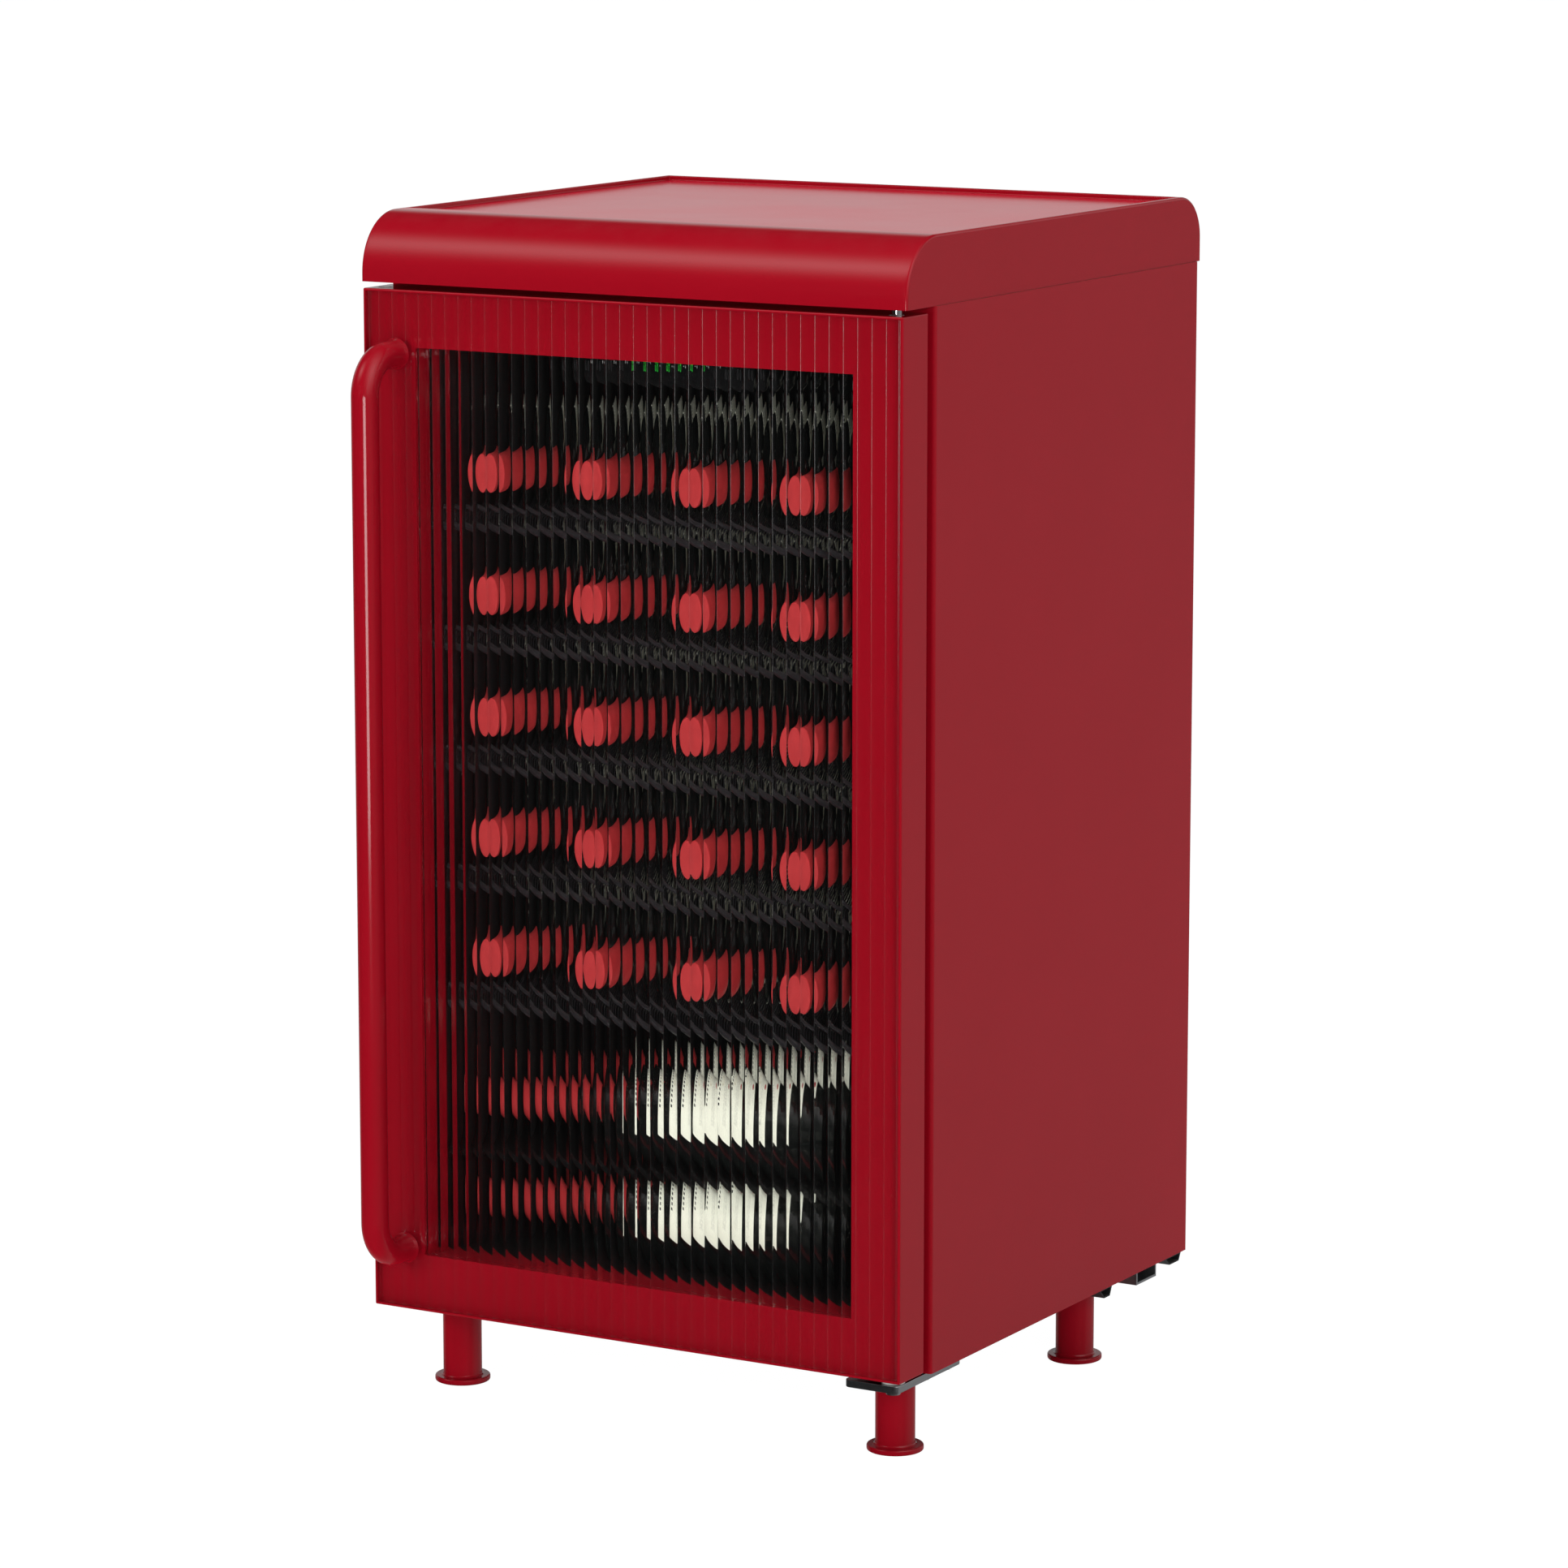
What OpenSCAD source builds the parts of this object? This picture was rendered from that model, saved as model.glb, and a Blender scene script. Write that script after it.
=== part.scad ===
// Free-standing retro bottle cooler: one glazed door with vertical flutes, a tube handle, a rolled
// top cover with a shallow tray, four screw-in legs, wire shelves and a rear compressor bay.
// X is left to right as seen from the door, Y runs from the door to the back, Z is up.

/* [Cabinet] */
// Outside width of the cabinet
cab_w = 486; // [460:1:520]
// Depth of the cabinet body behind the door
cab_d = 441.8; // [430:0.2:470]
// Height of the underside of the cabinet above the floor
base_z = 70.8; // [66:0.2:80]
// Height of the seam between the cabinet and the top cover
top_z = 892.6; // [888:0.2:900]
// Thickness of the sheet steel skins
skin_t = 1; // [0.8:0.1:1.2]
// Thickness of the insulated walls
wall_t = 34; // [30:1:38]
// Thickness of the moulded inner liner
liner_t = 2; // [1.5:0.5:2.5]

/* [Door] */
// Width of the door
door_w = 480; // [460:1:484]
// Height of the door
door_h = 815.2; // [800:0.2:816]
// Thickness of the door frame
door_t = 39; // [36:1:40]
// Front face of the door, measured from the middle of the cooler
door_front_y = -220; // [-222:1:-218]
// Underside of the door above the floor
door_z = 72.6; // [72:0.2:74]
// Width of the painted border round the window
border_w = 45; // [40:1:48]
// Spacing of the flutes in the outer pane
flute_pitch = 12.19; // [11:0.01:13]
// Radius of each hollow flute
flute_r = 9.5; // [8:0.5:12]
// Distance from the hinge axis to the middle of the door
hinge_x = 227.5; // [226:0.5:229]
// Distance from the front of the door to the hinge axis
hinge_setback = 13; // [12.5:0.5:14]

/* [Handle] */
// Radius of the handle tube
handle_r = 10.9; // [9:0.1:11]
// Distance from the middle of the door to the handle
handle_x = 210.5; // [208:0.5:214]
// Distance between the centres of the two handle arms
handle_span = 715; // [500:5:720]
// Distance from the glass to the centre of the handle bar
handle_reach = 43.1; // [40:0.1:43.1]
// Centreline radius of the handle bends
handle_bend = 30; // [25:1:34]

/* [Top cover] */
// Height of the top cover
lid_h = 53.4; // [50:0.2:56]
// Radius of the front roll
lid_front_r = 47; // [40:1:48]
// Radius of the back roll
lid_back_r = 34; // [28:1:36]
// Depth of the tray in the top
tray_depth = 4; // [2:0.5:6]

/* [Legs] */
// Radius of the leg stem
leg_r = 15.6; // [12:0.2:18]
// Radius of the leg's foot flange
foot_r = 22.3; // [20:0.1:24]
// Distance from the middle to the legs, sideways
leg_x = 200; // [190:1:205]

/* [Bottles] */
// Radius of a bottle's body
bottle_r = 37.5; // [36:0.5:38]
// Length of a bottle
bottle_l = 300; // [290:1:302]
// Sideways spacing of the bottles on a shelf
bottle_pitch = 92.7; // [88:0.1:94]
// Height between shelves
shelf_pitch = 96; // [94:0.5:97]
// Height of the top row's bottle axes
top_row_z = 747; // [745:1:749]
// Number of wire shelves
shelf_count = 5; // [5:1:5]

/* [Controls] */
// Width of the control box under the ceiling
control_w = 172; // [168:1:190]
// Travel of a control button
button_travel = 0.8; // [0.5:0.1:1]

/* [Hidden] */
$fn = 64;
eps = 0.05;

door_back_y = door_front_y + door_t;
cab_y0 = -175.3;
cab_y1 = cab_y0 + cab_d;
cab_hw = cab_w / 2;
skin_y = cab_y0 + skin_t;
foam_hw = cab_hw - skin_t;
foam_y1 = cab_y1 - skin_t;
foam_z0 = base_z + 1.2;

// The cooled space, as the outside of the liner
cave_hw = foam_hw - wall_t;
cave_z0 = 110;
cave_z1 = 850;
cave_y1 = 212;
step_z = 298;
step_y = 62;

// The compressor bay under the step
bay_y0 = 85;
bay_z1 = 275;

// Door glazing, front to back
lip = 2;
glass_y0 = door_front_y + 0.5;
glass_t = 6;
gap_t = 5;
pane_t = 3;
pane_hw = door_w / 2 - border_w + 8;
pane_hh = door_h / 2 - border_w + 8;
pane_y1 = glass_y0 + glass_t + gap_t + pane_t;
door_mid_z = door_z + door_h / 2;
door_top_z = door_z + door_h;
win_hw = door_w / 2 - border_w;
win_hh = door_h / 2 - border_w;
hinge_y = door_front_y + hinge_setback;
pin_r = 3.9;
bush_bore_r = 3.95;
bush_r = 5.9;
bush_l = 16;

// Bottles: every one is built standing on its base and then laid down
body_l = 190;
shoulder_l = 38;
neck_r = 14.5;
capsule_l = 60;
capsule_t = 0.8;
bottle_base_y = 99;
lying_base_x = 135;
lying_y = [-120, -5];
lying_z = [149.6, 233];
lower_shelf_z = 195.5;
label_l = 88;
label_t = 0.3;

// Wire shelves
shelf_hw = 196;
shelf_y0 = -160;
shelf_y1 = 118;
wire_r = 1.5;
rail_r = 3;
wires_per_shelf = 27;

// Control box on the ceiling
ceiling_z = cave_z1 - liner_t;
control_y0 = -162;
control_d = 60;
control_h = 30;
window_hw = 52;
button_r = 4;
button_z = ceiling_z - 17;

// Circulation fan
fan_z = 755;
fan_y = 191;
fan_r = 44;
cover_y = 178;
cover_t = 3;
shaft_r = 2;

// Compressor
comp_x = 70;
comp_y = 176;
comp_r = 68;
comp_z = 86;
comp_h = 150;

function shelf_z(i) = top_row_z - bottle_r - (i - 1) * shelf_pitch;
function row_z(i) = top_row_z - (i - 1) * shelf_pitch;
function column_x(i) = (i - 1.5) * bottle_pitch;

red = [0.55, 0.03, 0.06];
black = [0.05, 0.05, 0.05];
steel = [0.65, 0.66, 0.68];

// A block between two opposite corners
module block(a, b) {
    translate(a) cube(b - a);
}

// A cylinder along Y, from y0 to y1
module rod_y(x, z, y0, y1, r) {
    translate([x, y0, z]) rotate([-90, 0, 0]) cylinder(h = y1 - y0, r = r);
}

// A cylinder along X, from x0 to x1
module rod_x(y, z, x0, x1, r) {
    translate([x0, y, z]) rotate([0, 90, 0]) cylinder(h = x1 - x0, r = r);
}

// A cylinder along Z, from z0 to z1
module rod_z(x, y, z0, z1, r) {
    translate([x, y, z0]) cylinder(h = z1 - z0, r = r);
}

// ---------------------------------------------------------------- cabinet shell

// One side skin with its folded front edge, side = -1 is left and 1 is right
module side_panel(side) {
    color(red) translate([0, 0, base_z]) linear_extrude(top_z - 0.3 - base_z) {
        mirror([side < 0 ? 1 : 0, 0]) union() {
            translate([foam_hw, cab_y0]) square([skin_t, cab_d]);
            translate([cave_hw, cab_y0]) square([cab_hw - cave_hw, skin_t]);
        }
    }
}

// The two front cross rails between the folded edges of the side skins
module front_rails() {
    color(red) {
        block([-cave_hw, cab_y0, base_z], [cave_hw, skin_y, cave_z0]);
        block([-cave_hw, cab_y0, cave_z1], [cave_hw, skin_y, top_z - 0.3]);
    }
}

module base_pan() {
    color(steel) difference() {
        block([-foam_hw, skin_y, base_z], [foam_hw, bay_y0, foam_z0]);
        for (side = [-1, 1]) rod_z(side * leg_x, -154, base_z - 1, foam_z0 + 1, 4.3);
        hinge_screw_shanks(2.55);
    }
}

module back_panel() {
    color([0.45, 0.46, 0.47]) difference() {
        block([-foam_hw, foam_y1, bay_z1], [foam_hw, cab_y1, top_z - 0.3]);
        back_screw_shanks(2.05);
    }
}

// The two steps of the cooled space, shrunk by inset on every side but the front
module cave(inset) {
    block([-cave_hw + inset, cab_y0 - 1, cave_z0 + inset], [cave_hw - inset, step_y - inset, cave_z1 - inset]);
    block([-cave_hw + inset, cab_y0 - 1, step_z + inset], [cave_hw - inset, cave_y1 - inset, cave_z1 - inset]);
}

module insulation() {
    color([0.93, 0.88, 0.7]) difference() {
        block([-foam_hw, skin_y, foam_z0], [foam_hw, foam_y1, top_z]);
        cave(0);
        block([-foam_hw - 1, bay_y0, foam_z0 - 1], [foam_hw + 1, foam_y1 + 1, bay_z1]);
        for (side = [-1, 1]) rod_z(side * leg_x, -154, foam_z0 - 1, foam_z0 + 14, 9);
        back_screw_shanks(2.05);
        hinge_screw_shanks(2.55);
    }
}

// Liner with moulded ribs that carry the shelves
module inner_liner() {
    rib_d = 8;
    color(black) {
        difference() {
            intersection() {
                cave(0);
                block([-cab_w, skin_y, 0], [cab_w, cab_y1, top_z]);
            }
            cave(liner_t);
        }
        for (i = [1 : shelf_count], side = [-1, 1]) {
            z = shelf_z(i) - 2 * wire_r - 2 * rail_r + 0.35;
            rib(side, z, -150, 120, rib_d);
        }
        for (side = [-1, 1]) rib(side, lower_shelf_z - 5.5, -150, 40, rib_d);
    }
}

// One shelf rib on a liner wall with its top at z
module rib(side, z, y0, y1, d) {
    x0 = side * (cave_hw - liner_t);
    x1 = side * (cave_hw - liner_t - d);
    block([min(x0, x1), y0, z - 6], [max(x0, x1), y1, z]);
}

// ---------------------------------------------------------------- top cover

// Side view of the top cover, shrunk by inset on the front, back and top
module lid_side(inset) {
    y0 = door_front_y + 1.5;
    y1 = 273.5;
    z1 = top_z + lid_h;
    difference() {
        translate([y0 + inset, top_z]) square([y1 - y0 - 2 * inset, lid_h - inset]);
        lid_corner([y0, z1 - lid_front_r], lid_front_r, inset, 0);
        lid_corner([y1 - lid_back_r, z1 - lid_back_r], lid_back_r, inset, lid_back_r);
    }
}

// What a rolled edge takes off a square corner; side is 0 at the front and above 0 at the back
module lid_corner(corner, r, inset, side) {
    difference() {
        translate([corner[0] + (side > 0 ? 0 : -1), corner[1]]) square([r + 1, r + 1]);
        translate([corner[0] + (side > 0 ? 0 : r), corner[1]]) circle(r - inset, $fn = 128);
    }
}

// The side view swept across the cover's width
module lid_sweep(half_w, inset) {
    translate([-half_w, 0, 0]) rotate([90, 0, 90]) linear_extrude(2 * half_w) lid_side(inset);
}

module top_cover() {
    hw = cab_hw - 0.5;
    wall = 3;
    soffit = 1.4;
    rim = 5;
    color(red) difference() {
        lid_sweep(hw, 0);
        intersection() {
            lid_sweep(hw - wall, wall);
            block([-hw, -300, top_z + soffit], [hw, 300, top_z + lid_h - tray_depth - wall]);
        }
        block([-foam_hw, cab_y0, top_z - 1], [foam_hw, cab_y1, top_z + soffit + eps]);
        block([-hw + rim, -158, top_z + lid_h - tray_depth], [hw - rim, 242, top_z + lid_h + 1]);
        rod_z(hinge_x, hinge_y, top_z - 1, top_z + 2, 6.5);
    }
}

// ---------------------------------------------------------------- hinges

module upper_hinge_plate() {
    z0 = top_z + 1.4;
    color(steel) difference() {
        union() {
            block([196, hinge_y, z0], [238, cab_y0, z0 + 3]);
            block([205, -215.3, z0], [238, hinge_y + eps, z0 + 3]);
            block([196, cab_y0 - eps, top_z], [238, -122, z0 + 3]);
        }
        rod_z(hinge_x, hinge_y, z0 - 1, z0 + 5, pin_r);
        hinge_screw_shanks(2.55);
    }
}

module upper_hinge_pin() {
    z0 = top_z + 4.4;
    color(steel) union() {
        rod_z(hinge_x, hinge_y, door_top_z - bush_l + 2, z0, pin_r);
        rod_z(hinge_x, hinge_y, z0, z0 + 2.5, 6);
    }
}

module lower_hinge_bracket() {
    z0 = 64;
    z1 = 70;
    corner = 5;
    color(steel) difference() {
        union() {
            translate([0, 0, z0]) linear_extrude(z1 - z0) union() {
                translate([190 + corner, -218]) square([47 - 2 * corner, 104]);
                translate([190, -218 + corner]) square([47, 104 - corner]);
                translate([190 + corner, -218 + corner]) circle(corner);
                translate([237 - corner, -218 + corner]) circle(corner);
            }
            block([190, -170, z1 - eps], [237, -114, base_z]);
        }
        rod_z(hinge_x, hinge_y, z0 - 1, z1 + 1, pin_r);
        rod_z(leg_x, -154, z0 - 1, base_z + 1, leg_r + 0.4);
        hinge_screw_shanks(2.55);
    }
}

module lower_hinge_pin() {
    color(steel) union() {
        rod_z(hinge_x, hinge_y, 62.5, door_z + bush_l - 2, pin_r);
        rod_z(hinge_x, hinge_y, 61, 62.5 + eps, 5.5);
        rod_z(hinge_x, hinge_y, 62.5, 64, 5.5);
    }
}

// Screws that hold the hinge plates: two above, two below
upper_screws = [[206, -138], [228, -138]];
lower_screws = [[228, -160], [228, -126]];

module hinge_screw_shanks(r) {
    for (p = upper_screws) rod_z(p[0], p[1], top_z - 14, top_z + 5, r);
    for (p = lower_screws) rod_z(p[0], p[1], 63, base_z + 14, r);
}

module hinge_screws() {
    color(steel) {
        for (p = upper_screws) screw_z(p, top_z + 4.4, top_z - 12, 1);
        for (p = lower_screws) screw_z(p, 64, base_z + 12, -1);
    }
}

// A countable pan-head screw along Z with its head seated at z_seat
module screw_z(p, z_seat, z_tip, up) {
    head = 2.6;
    translate([p[0], p[1], up > 0 ? z_seat : z_seat - head]) difference() {
        cylinder(h = head, r = 4.5);
        translate([0, 0, up > 0 ? head - 1.2 : -0.1]) {
            translate([-3, -0.5, 0]) cube([6, 1, 1.3]);
            translate([-0.5, -3, 0]) cube([1, 6, 1.3]);
        }
    }
    rod_z(p[0], p[1], min(z_seat, z_tip), max(z_seat, z_tip), 2.5);
}

// Screws in the back: round the back panel and round the grille
back_screws = concat(
    [for (x = [-232, 0, 232], z = [288, 878]) [x, z]],
    [for (x = [-232, 232], z = [480, 680]) [x, z]]
);
grille_screws = [for (x = [-226, 226], z = [90, 262]) [x, z]];

module back_screw_shanks(r) {
    for (p = back_screws) rod_y(p[0], p[1], foam_y1 - 10, cab_y1 + 1, r);
}

module panel_screws() {
    color(steel) for (p = concat(back_screws, grille_screws)) {
        difference() {
            rod_y(p[0], p[1], cab_y1, cab_y1 + 2.2, 4);
            block([p[0] - 3, cab_y1 + 1.2, p[1] - 0.5], [p[0] + 3, cab_y1 + 3, p[1] + 0.5]);
            block([p[0] - 0.5, cab_y1 + 1.2, p[1] - 3], [p[0] + 0.5, cab_y1 + 3, p[1] + 3]);
        }
        rod_y(p[0], p[1], foam_y1 - 8, cab_y1 + eps, 2);
    }
}

// ---------------------------------------------------------------- legs

// A turned leg with a foot flange and a threaded stud
module leg(x, y, stud_top) {
    flange_t = 4.6;
    edge = 1;
    color(red) translate([x, y, 0]) rotate_extrude() {
        union() {
            square([foot_r - edge, flange_t]);
            translate([0, edge]) square([foot_r, flange_t - 2 * edge]);
            for (z = [edge, flange_t - edge]) translate([foot_r - edge, z]) circle(edge, $fn = 24);
            square([leg_r, base_z]);
            square([4, stud_top]);
        }
    }
}

// ---------------------------------------------------------------- shelves and bottles

// A welded wire shelf that carries bottles at height z
module wire_shelf(z) {
    top_wire_r = 2;
    top_wire_z = z + 4;
    rail_z = z - 11.5;
    cross_z = z - 2 * wire_r - rail_r + 0.4;
    corner = 8;
    color([0.22, 0.21, 0.23]) union() {
        for (i = [0 : wires_per_shelf - 1]) {
            x = -shelf_hw + 8 + i * (2 * shelf_hw - 16) / (wires_per_shelf - 1);
            rod_y(x, z - wire_r, shelf_y0, shelf_y1, wire_r);
            rod_z(x, shelf_y0, rail_z, z - wire_r, wire_r - 0.2);
        }
        rod_x(shelf_y0, rail_z, -shelf_hw, shelf_hw, rail_r);
        for (y = [-40, 60, shelf_y1 - rail_r]) rod_x(y, cross_z, -shelf_hw, shelf_hw, rail_r);
        for (side = [-1, 1]) {
            rod_y(side * (shelf_hw + 2), cross_z, shelf_y0, shelf_y1, rail_r);
            rod_z(side * shelf_hw, shelf_y0, rail_z, top_wire_z - corner, top_wire_r);
            translate([side * (shelf_hw - corner), shelf_y0, top_wire_z - corner]) rotate([90, 0, 0])
                rotate(side > 0 ? 0 : 90) rotate_extrude(angle = 90) translate([corner, 0]) circle(top_wire_r, $fn = 24);
        }
        rod_x(shelf_y0, top_wire_z, corner - shelf_hw, shelf_hw - corner, top_wire_r);
    }
}

// Half outline of a bottle, from the middle out
module bottle_outline() {
    rise = bottle_r - neck_r;
    steps = 12;
    polygon(concat(
        [[0, 6], [22, 0], [bottle_r - 3, 0], [bottle_r, 3]],
        [for (i = [0 : steps]) [neck_r + rise * (1 + cos(180 * i / steps)) / 2, body_l + shoulder_l * i / steps]],
        [[neck_r, bottle_l], [0, bottle_l]]
    ));
}

module bottle() {
    color([0.02, 0.03, 0.02]) rotate_extrude() bottle_outline();
}

// Lays a child bottle down with its neck towards the door
module neck_to_door(x, z) {
    translate([x, bottle_base_y, z]) rotate([90, 0, 0]) children();
}

// Lays a child bottle down across the cabinet with its neck to the left
module neck_to_left(y, z) {
    translate([lying_base_x, y, z]) rotate([0, -90, 0]) children();
}

module bottle_row(i) {
    for (c = [0 : 3]) neck_to_door(column_x(c), row_z(i)) bottle();
}

module lying_bottles() {
    for (y = lying_y, z = lying_z) neck_to_left(y, z) bottle();
}

module capsule() {
    color([0.72, 0.15, 0.16]) rotate_extrude() union() {
        translate([neck_r, bottle_l - capsule_l]) square([capsule_t, capsule_l + capsule_t]);
        translate([0, bottle_l]) square([neck_r + capsule_t, capsule_t]);
    }
}

module bottle_capsules() {
    for (i = [1 : shelf_count], c = [0 : 3]) neck_to_door(column_x(c), row_z(i)) capsule();
    for (y = lying_y, z = lying_z) neck_to_left(y, z) capsule();
}

// A paper label wrapped part way round a bottle, centred on its +X side
module label() {
    color([0.95, 0.94, 0.86]) rotate([0, 0, -80]) rotate_extrude(angle = 160)
        translate([bottle_r, 60]) square([label_t, label_l]);
}

module bottle_labels() {
    for (i = [1 : shelf_count], c = [0 : 3]) neck_to_door(column_x(c), row_z(i)) rotate([0, 0, 90]) label();
    for (y = lying_y, z = lying_z) neck_to_left(y, z) rotate([0, 0, -20]) label();
}

module lower_shelf() {
    color(black) block([-cave_hw + 4, -158, lower_shelf_z - 5.5], [cave_hw - 4, 52, lower_shelf_z]);
}

// ---------------------------------------------------------------- controls and lamp

module control_box() {
    corner = 12;
    hw = control_w / 2;
    z0 = ceiling_z - control_h;
    color(black) difference() {
        translate([0, control_y0 + control_d, 0]) rotate([90, 0, 0]) linear_extrude(control_d) union() {
            translate([-hw, z0 + corner]) square([2 * hw, control_h - corner]);
            translate([-hw + corner, z0]) square([2 * hw - 2 * corner, corner + eps]);
            for (side = [-1, 1]) translate([side * (hw - corner), z0 + corner]) circle(corner);
        }
        block([-window_hw, control_y0 - 1, button_z - 9], [window_hw, control_y0 + 2, button_z + 9]);
        for (x = button_places) rod_y(x, button_z, control_y0 - 1, control_y0 + 12, button_r + 0.3);
    }
}

button_places = [-76, -62, 62, 76];

module display_window() {
    color([0.05, 0.06, 0.06]) block(
        [-window_hw, control_y0 + 0.5, button_z - 9], [window_hw, control_y0 + 2, button_z + 9]);
}

// Two figures of seven segments
module display_digits() {
    seg_l = 5;
    seg_t = 1.3;
    y0 = control_y0 + 0.1;
    y1 = control_y0 + 0.5;
    segments = [[1, 1, 0, 1, 1, 0, 1], [1, 1, 1, 1, 1, 0, 1]];
    color([0.1, 0.8, 0.2]) for (d = [0, 1]) {
        x = -9 + d * 11;
        for (k = [0 : 2]) if (segments[d][3 * k]) {
            z = button_z - seg_l - seg_t + k * (seg_l + seg_t);
            block([x + 0.2, y0, z - seg_t / 2], [x + seg_l - 0.2, y1, z + seg_t / 2]);
        }
        for (k = [0 : 1], side = [0, 1]) if (segments[d][1 + 3 * k + side]) {
            z = button_z - seg_l - seg_t / 2 + k * (seg_l + seg_t);
            x0 = x + side * seg_l - seg_t / 2;
            block([x0, y0, z + 0.2], [x0 + seg_t, y1, z + seg_l - 0.2]);
        }
    }
}

// A round push button that stands out of the control box
module button(i) {
    color([0.2, 0.2, 0.21]) union() {
        rod_y(button_places[i], button_z, control_y0 - 1.5, control_y0 + 8, button_r);
        rod_y(button_places[i], button_z, control_y0 + 8 - eps, control_y0 + 12 - button_travel - 0.4, 2);
    }
}

module interior_lamp() {
    color([0.95, 0.95, 0.92]) block([-70, -92, ceiling_z - 6], [70, -76, ceiling_z]);
}

// ---------------------------------------------------------------- cooling unit inside

module evaporator_cover() {
    hw = cave_hw - liner_t - 1;
    z0 = step_z + liner_t;
    color(black) translate([0, cover_y + cover_t, 0]) rotate([90, 0, 0]) linear_extrude(cover_t) union() {
        difference() {
            translate([-hw, z0]) square([2 * hw, ceiling_z - 1 - z0]);
            translate([0, fan_z]) circle(fan_r + 3);
            for (i = [0 : 8]) translate([-150, 340 + 12 * i]) square([300, 5]);
        }
        translate([0, fan_z]) {
            for (r = [16, 27, 38]) difference() {
                circle(r + 1.5);
                circle(r - 1.5);
            }
            for (a = [0 : 60 : 120]) rotate(a) translate([-fan_r - 4, -1.5]) square([2 * fan_r + 8, 3]);
        }
    }
}

// A flat plate with the serpentine evaporator tube on its front
module evaporator_plate() {
    y = 203;
    passes = 6;
    pitch = 36;
    hw = 120;
    z0 = 470;
    color([0.75, 0.77, 0.8]) {
        block([-hw - 30, y + 4, z0 - 24], [hw + 30, y + 5.5, z0 + (passes - 1) * pitch + 24]);
        union() {
            for (i = [0 : passes - 1]) rod_x(y, z0 + i * pitch, -hw, hw, 4);
            for (i = [0 : passes - 2]) {
                side = i % 2 == 0 ? 1 : -1;
                translate([side * hw, y, z0 + (i + 0.5) * pitch]) rotate([90, 0, 0]) rotate(side > 0 ? -90 : 90)
                    rotate_extrude(angle = 180) translate([pitch / 2, 0]) circle(4, $fn = 64);
            }
        }
    }
}

module fan_motor() {
    color([0.3, 0.3, 0.32]) union() {
        rod_y(0, fan_z, fan_y + 9, cave_y1 - liner_t, 17);
        rod_y(0, fan_z, fan_y - 6, fan_y + 9 + eps, shaft_r);
        for (a = [0 : 120 : 240]) translate([0, cave_y1 - liner_t - 3, fan_z]) rotate([0, a, 0])
            block([0, 0, -4], [fan_r, 3, 4]);
    }
}

module fan_rotor() {
    blades = 7;
    color([0.85, 0.86, 0.86]) translate([0, fan_y, fan_z]) rotate([-90, 0, 0]) difference() {
        union() {
            translate([0, 0, -5]) cylinder(h = 12, r = 13);
            for (i = [0 : blades - 1]) rotate([0, 0, i * 360 / blades]) translate([fan_r / 2 + 3, 0, 1])
                rotate([32, 0, 0]) cube([fan_r - 10, 16, 1.4], center = true);
        }
        translate([0, 0, -6]) cylinder(h = 14, r = shaft_r + 0.05);
    }
}

// ---------------------------------------------------------------- cooling unit outside

module compressor() {
    round_r = 40;
    foot = [comp_r * 2 + 34, 120, 3];
    color(black) union() {
        translate([comp_x, comp_y, comp_z + foot[2]]) rotate_extrude($fn = 96) union() {
            square([comp_r - round_r, comp_h]);
            translate([0, 12]) square([comp_r, comp_h - 12 - round_r]);
            square([comp_r - 12, comp_h - round_r]);
            translate([comp_r - 12, 12]) circle(12);
            translate([comp_r - round_r, comp_h - round_r]) intersection() {
                circle(round_r);
                square(round_r);
            }
        }
        translate([comp_x, comp_y, comp_z + foot[2] + 84]) cylinder(h = 8, r = comp_r + 3);
        difference() {
            translate([comp_x - foot[0] / 2, comp_y - foot[1] / 2, comp_z]) cube(foot);
            for (p = comp_bolts) rod_z(p[0], p[1], comp_z - 1, comp_z + 4, 4.2);
        }
        rod_x(comp_y + 20, comp_z + 110, comp_x - comp_r - 22, comp_x - comp_r + 12, 4);
        rod_x(comp_y - 20, comp_z + 60, comp_x - comp_r - 22, comp_x - comp_r + 12, 3);
    }
}

comp_bolts = [for (x = [-75, 75], y = [-46, 46]) [comp_x + x, comp_y + y]];

// Base plate of the bay with two pressed ribs that hang below it
module compressor_plate() {
    rib_d = 8;
    color(black) difference() {
        union() {
            block([-foam_hw, bay_y0, base_z], [foam_hw, foam_y1, foam_z0]);
            plate_rib([111, 134], rib_d);
            plate_rib([230, 260], rib_d - 1);
        }
        for (side = [-1, 1]) rod_z(side * leg_x, 150, base_z - 1, foam_z0 + 1, 4.3);
        for (p = comp_bolts) rod_z(p[0], p[1], base_z - 9, foam_z0 + 1, 3.05);
        for (x = [-200 : 25 : -25]) block([x, 140, base_z - 1], [x + 12, 176, foam_z0 + 1]);
    }
}

// A pressed rib with sloping sides along the bay's width
module plate_rib(y, depth) {
    translate([-foam_hw, 0, 0]) rotate([90, 0, 90]) linear_extrude(2 * foam_hw) difference() {
        polygon([[y[0], base_z + eps], [y[0] + 9, base_z - depth], [y[1] - 4, base_z - depth], [y[1], base_z + eps]]);
        polygon([[y[0] + 3, base_z - 1.2], [y[0] + 9, base_z - depth + 1.2], [y[1] - 5, base_z - depth + 1.2],
                 [y[1] - 3, base_z - 1.2]]);
    }
}

// Rubber grommets and the bolts through them
module compressor_mounts() {
    color([0.1, 0.1, 0.1]) for (p = comp_bolts) translate([p[0], p[1], foam_z0]) difference() {
        union() {
            cylinder(h = comp_z - foam_z0, r = 11);
            cylinder(h = comp_z - foam_z0 + 3, r = 4.15);
            translate([0, 0, comp_z - foam_z0 + 3]) cylinder(h = 4, r = 8);
        }
        translate([0, 0, -1]) cylinder(h = 40, r = 3);
    }
}

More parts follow.
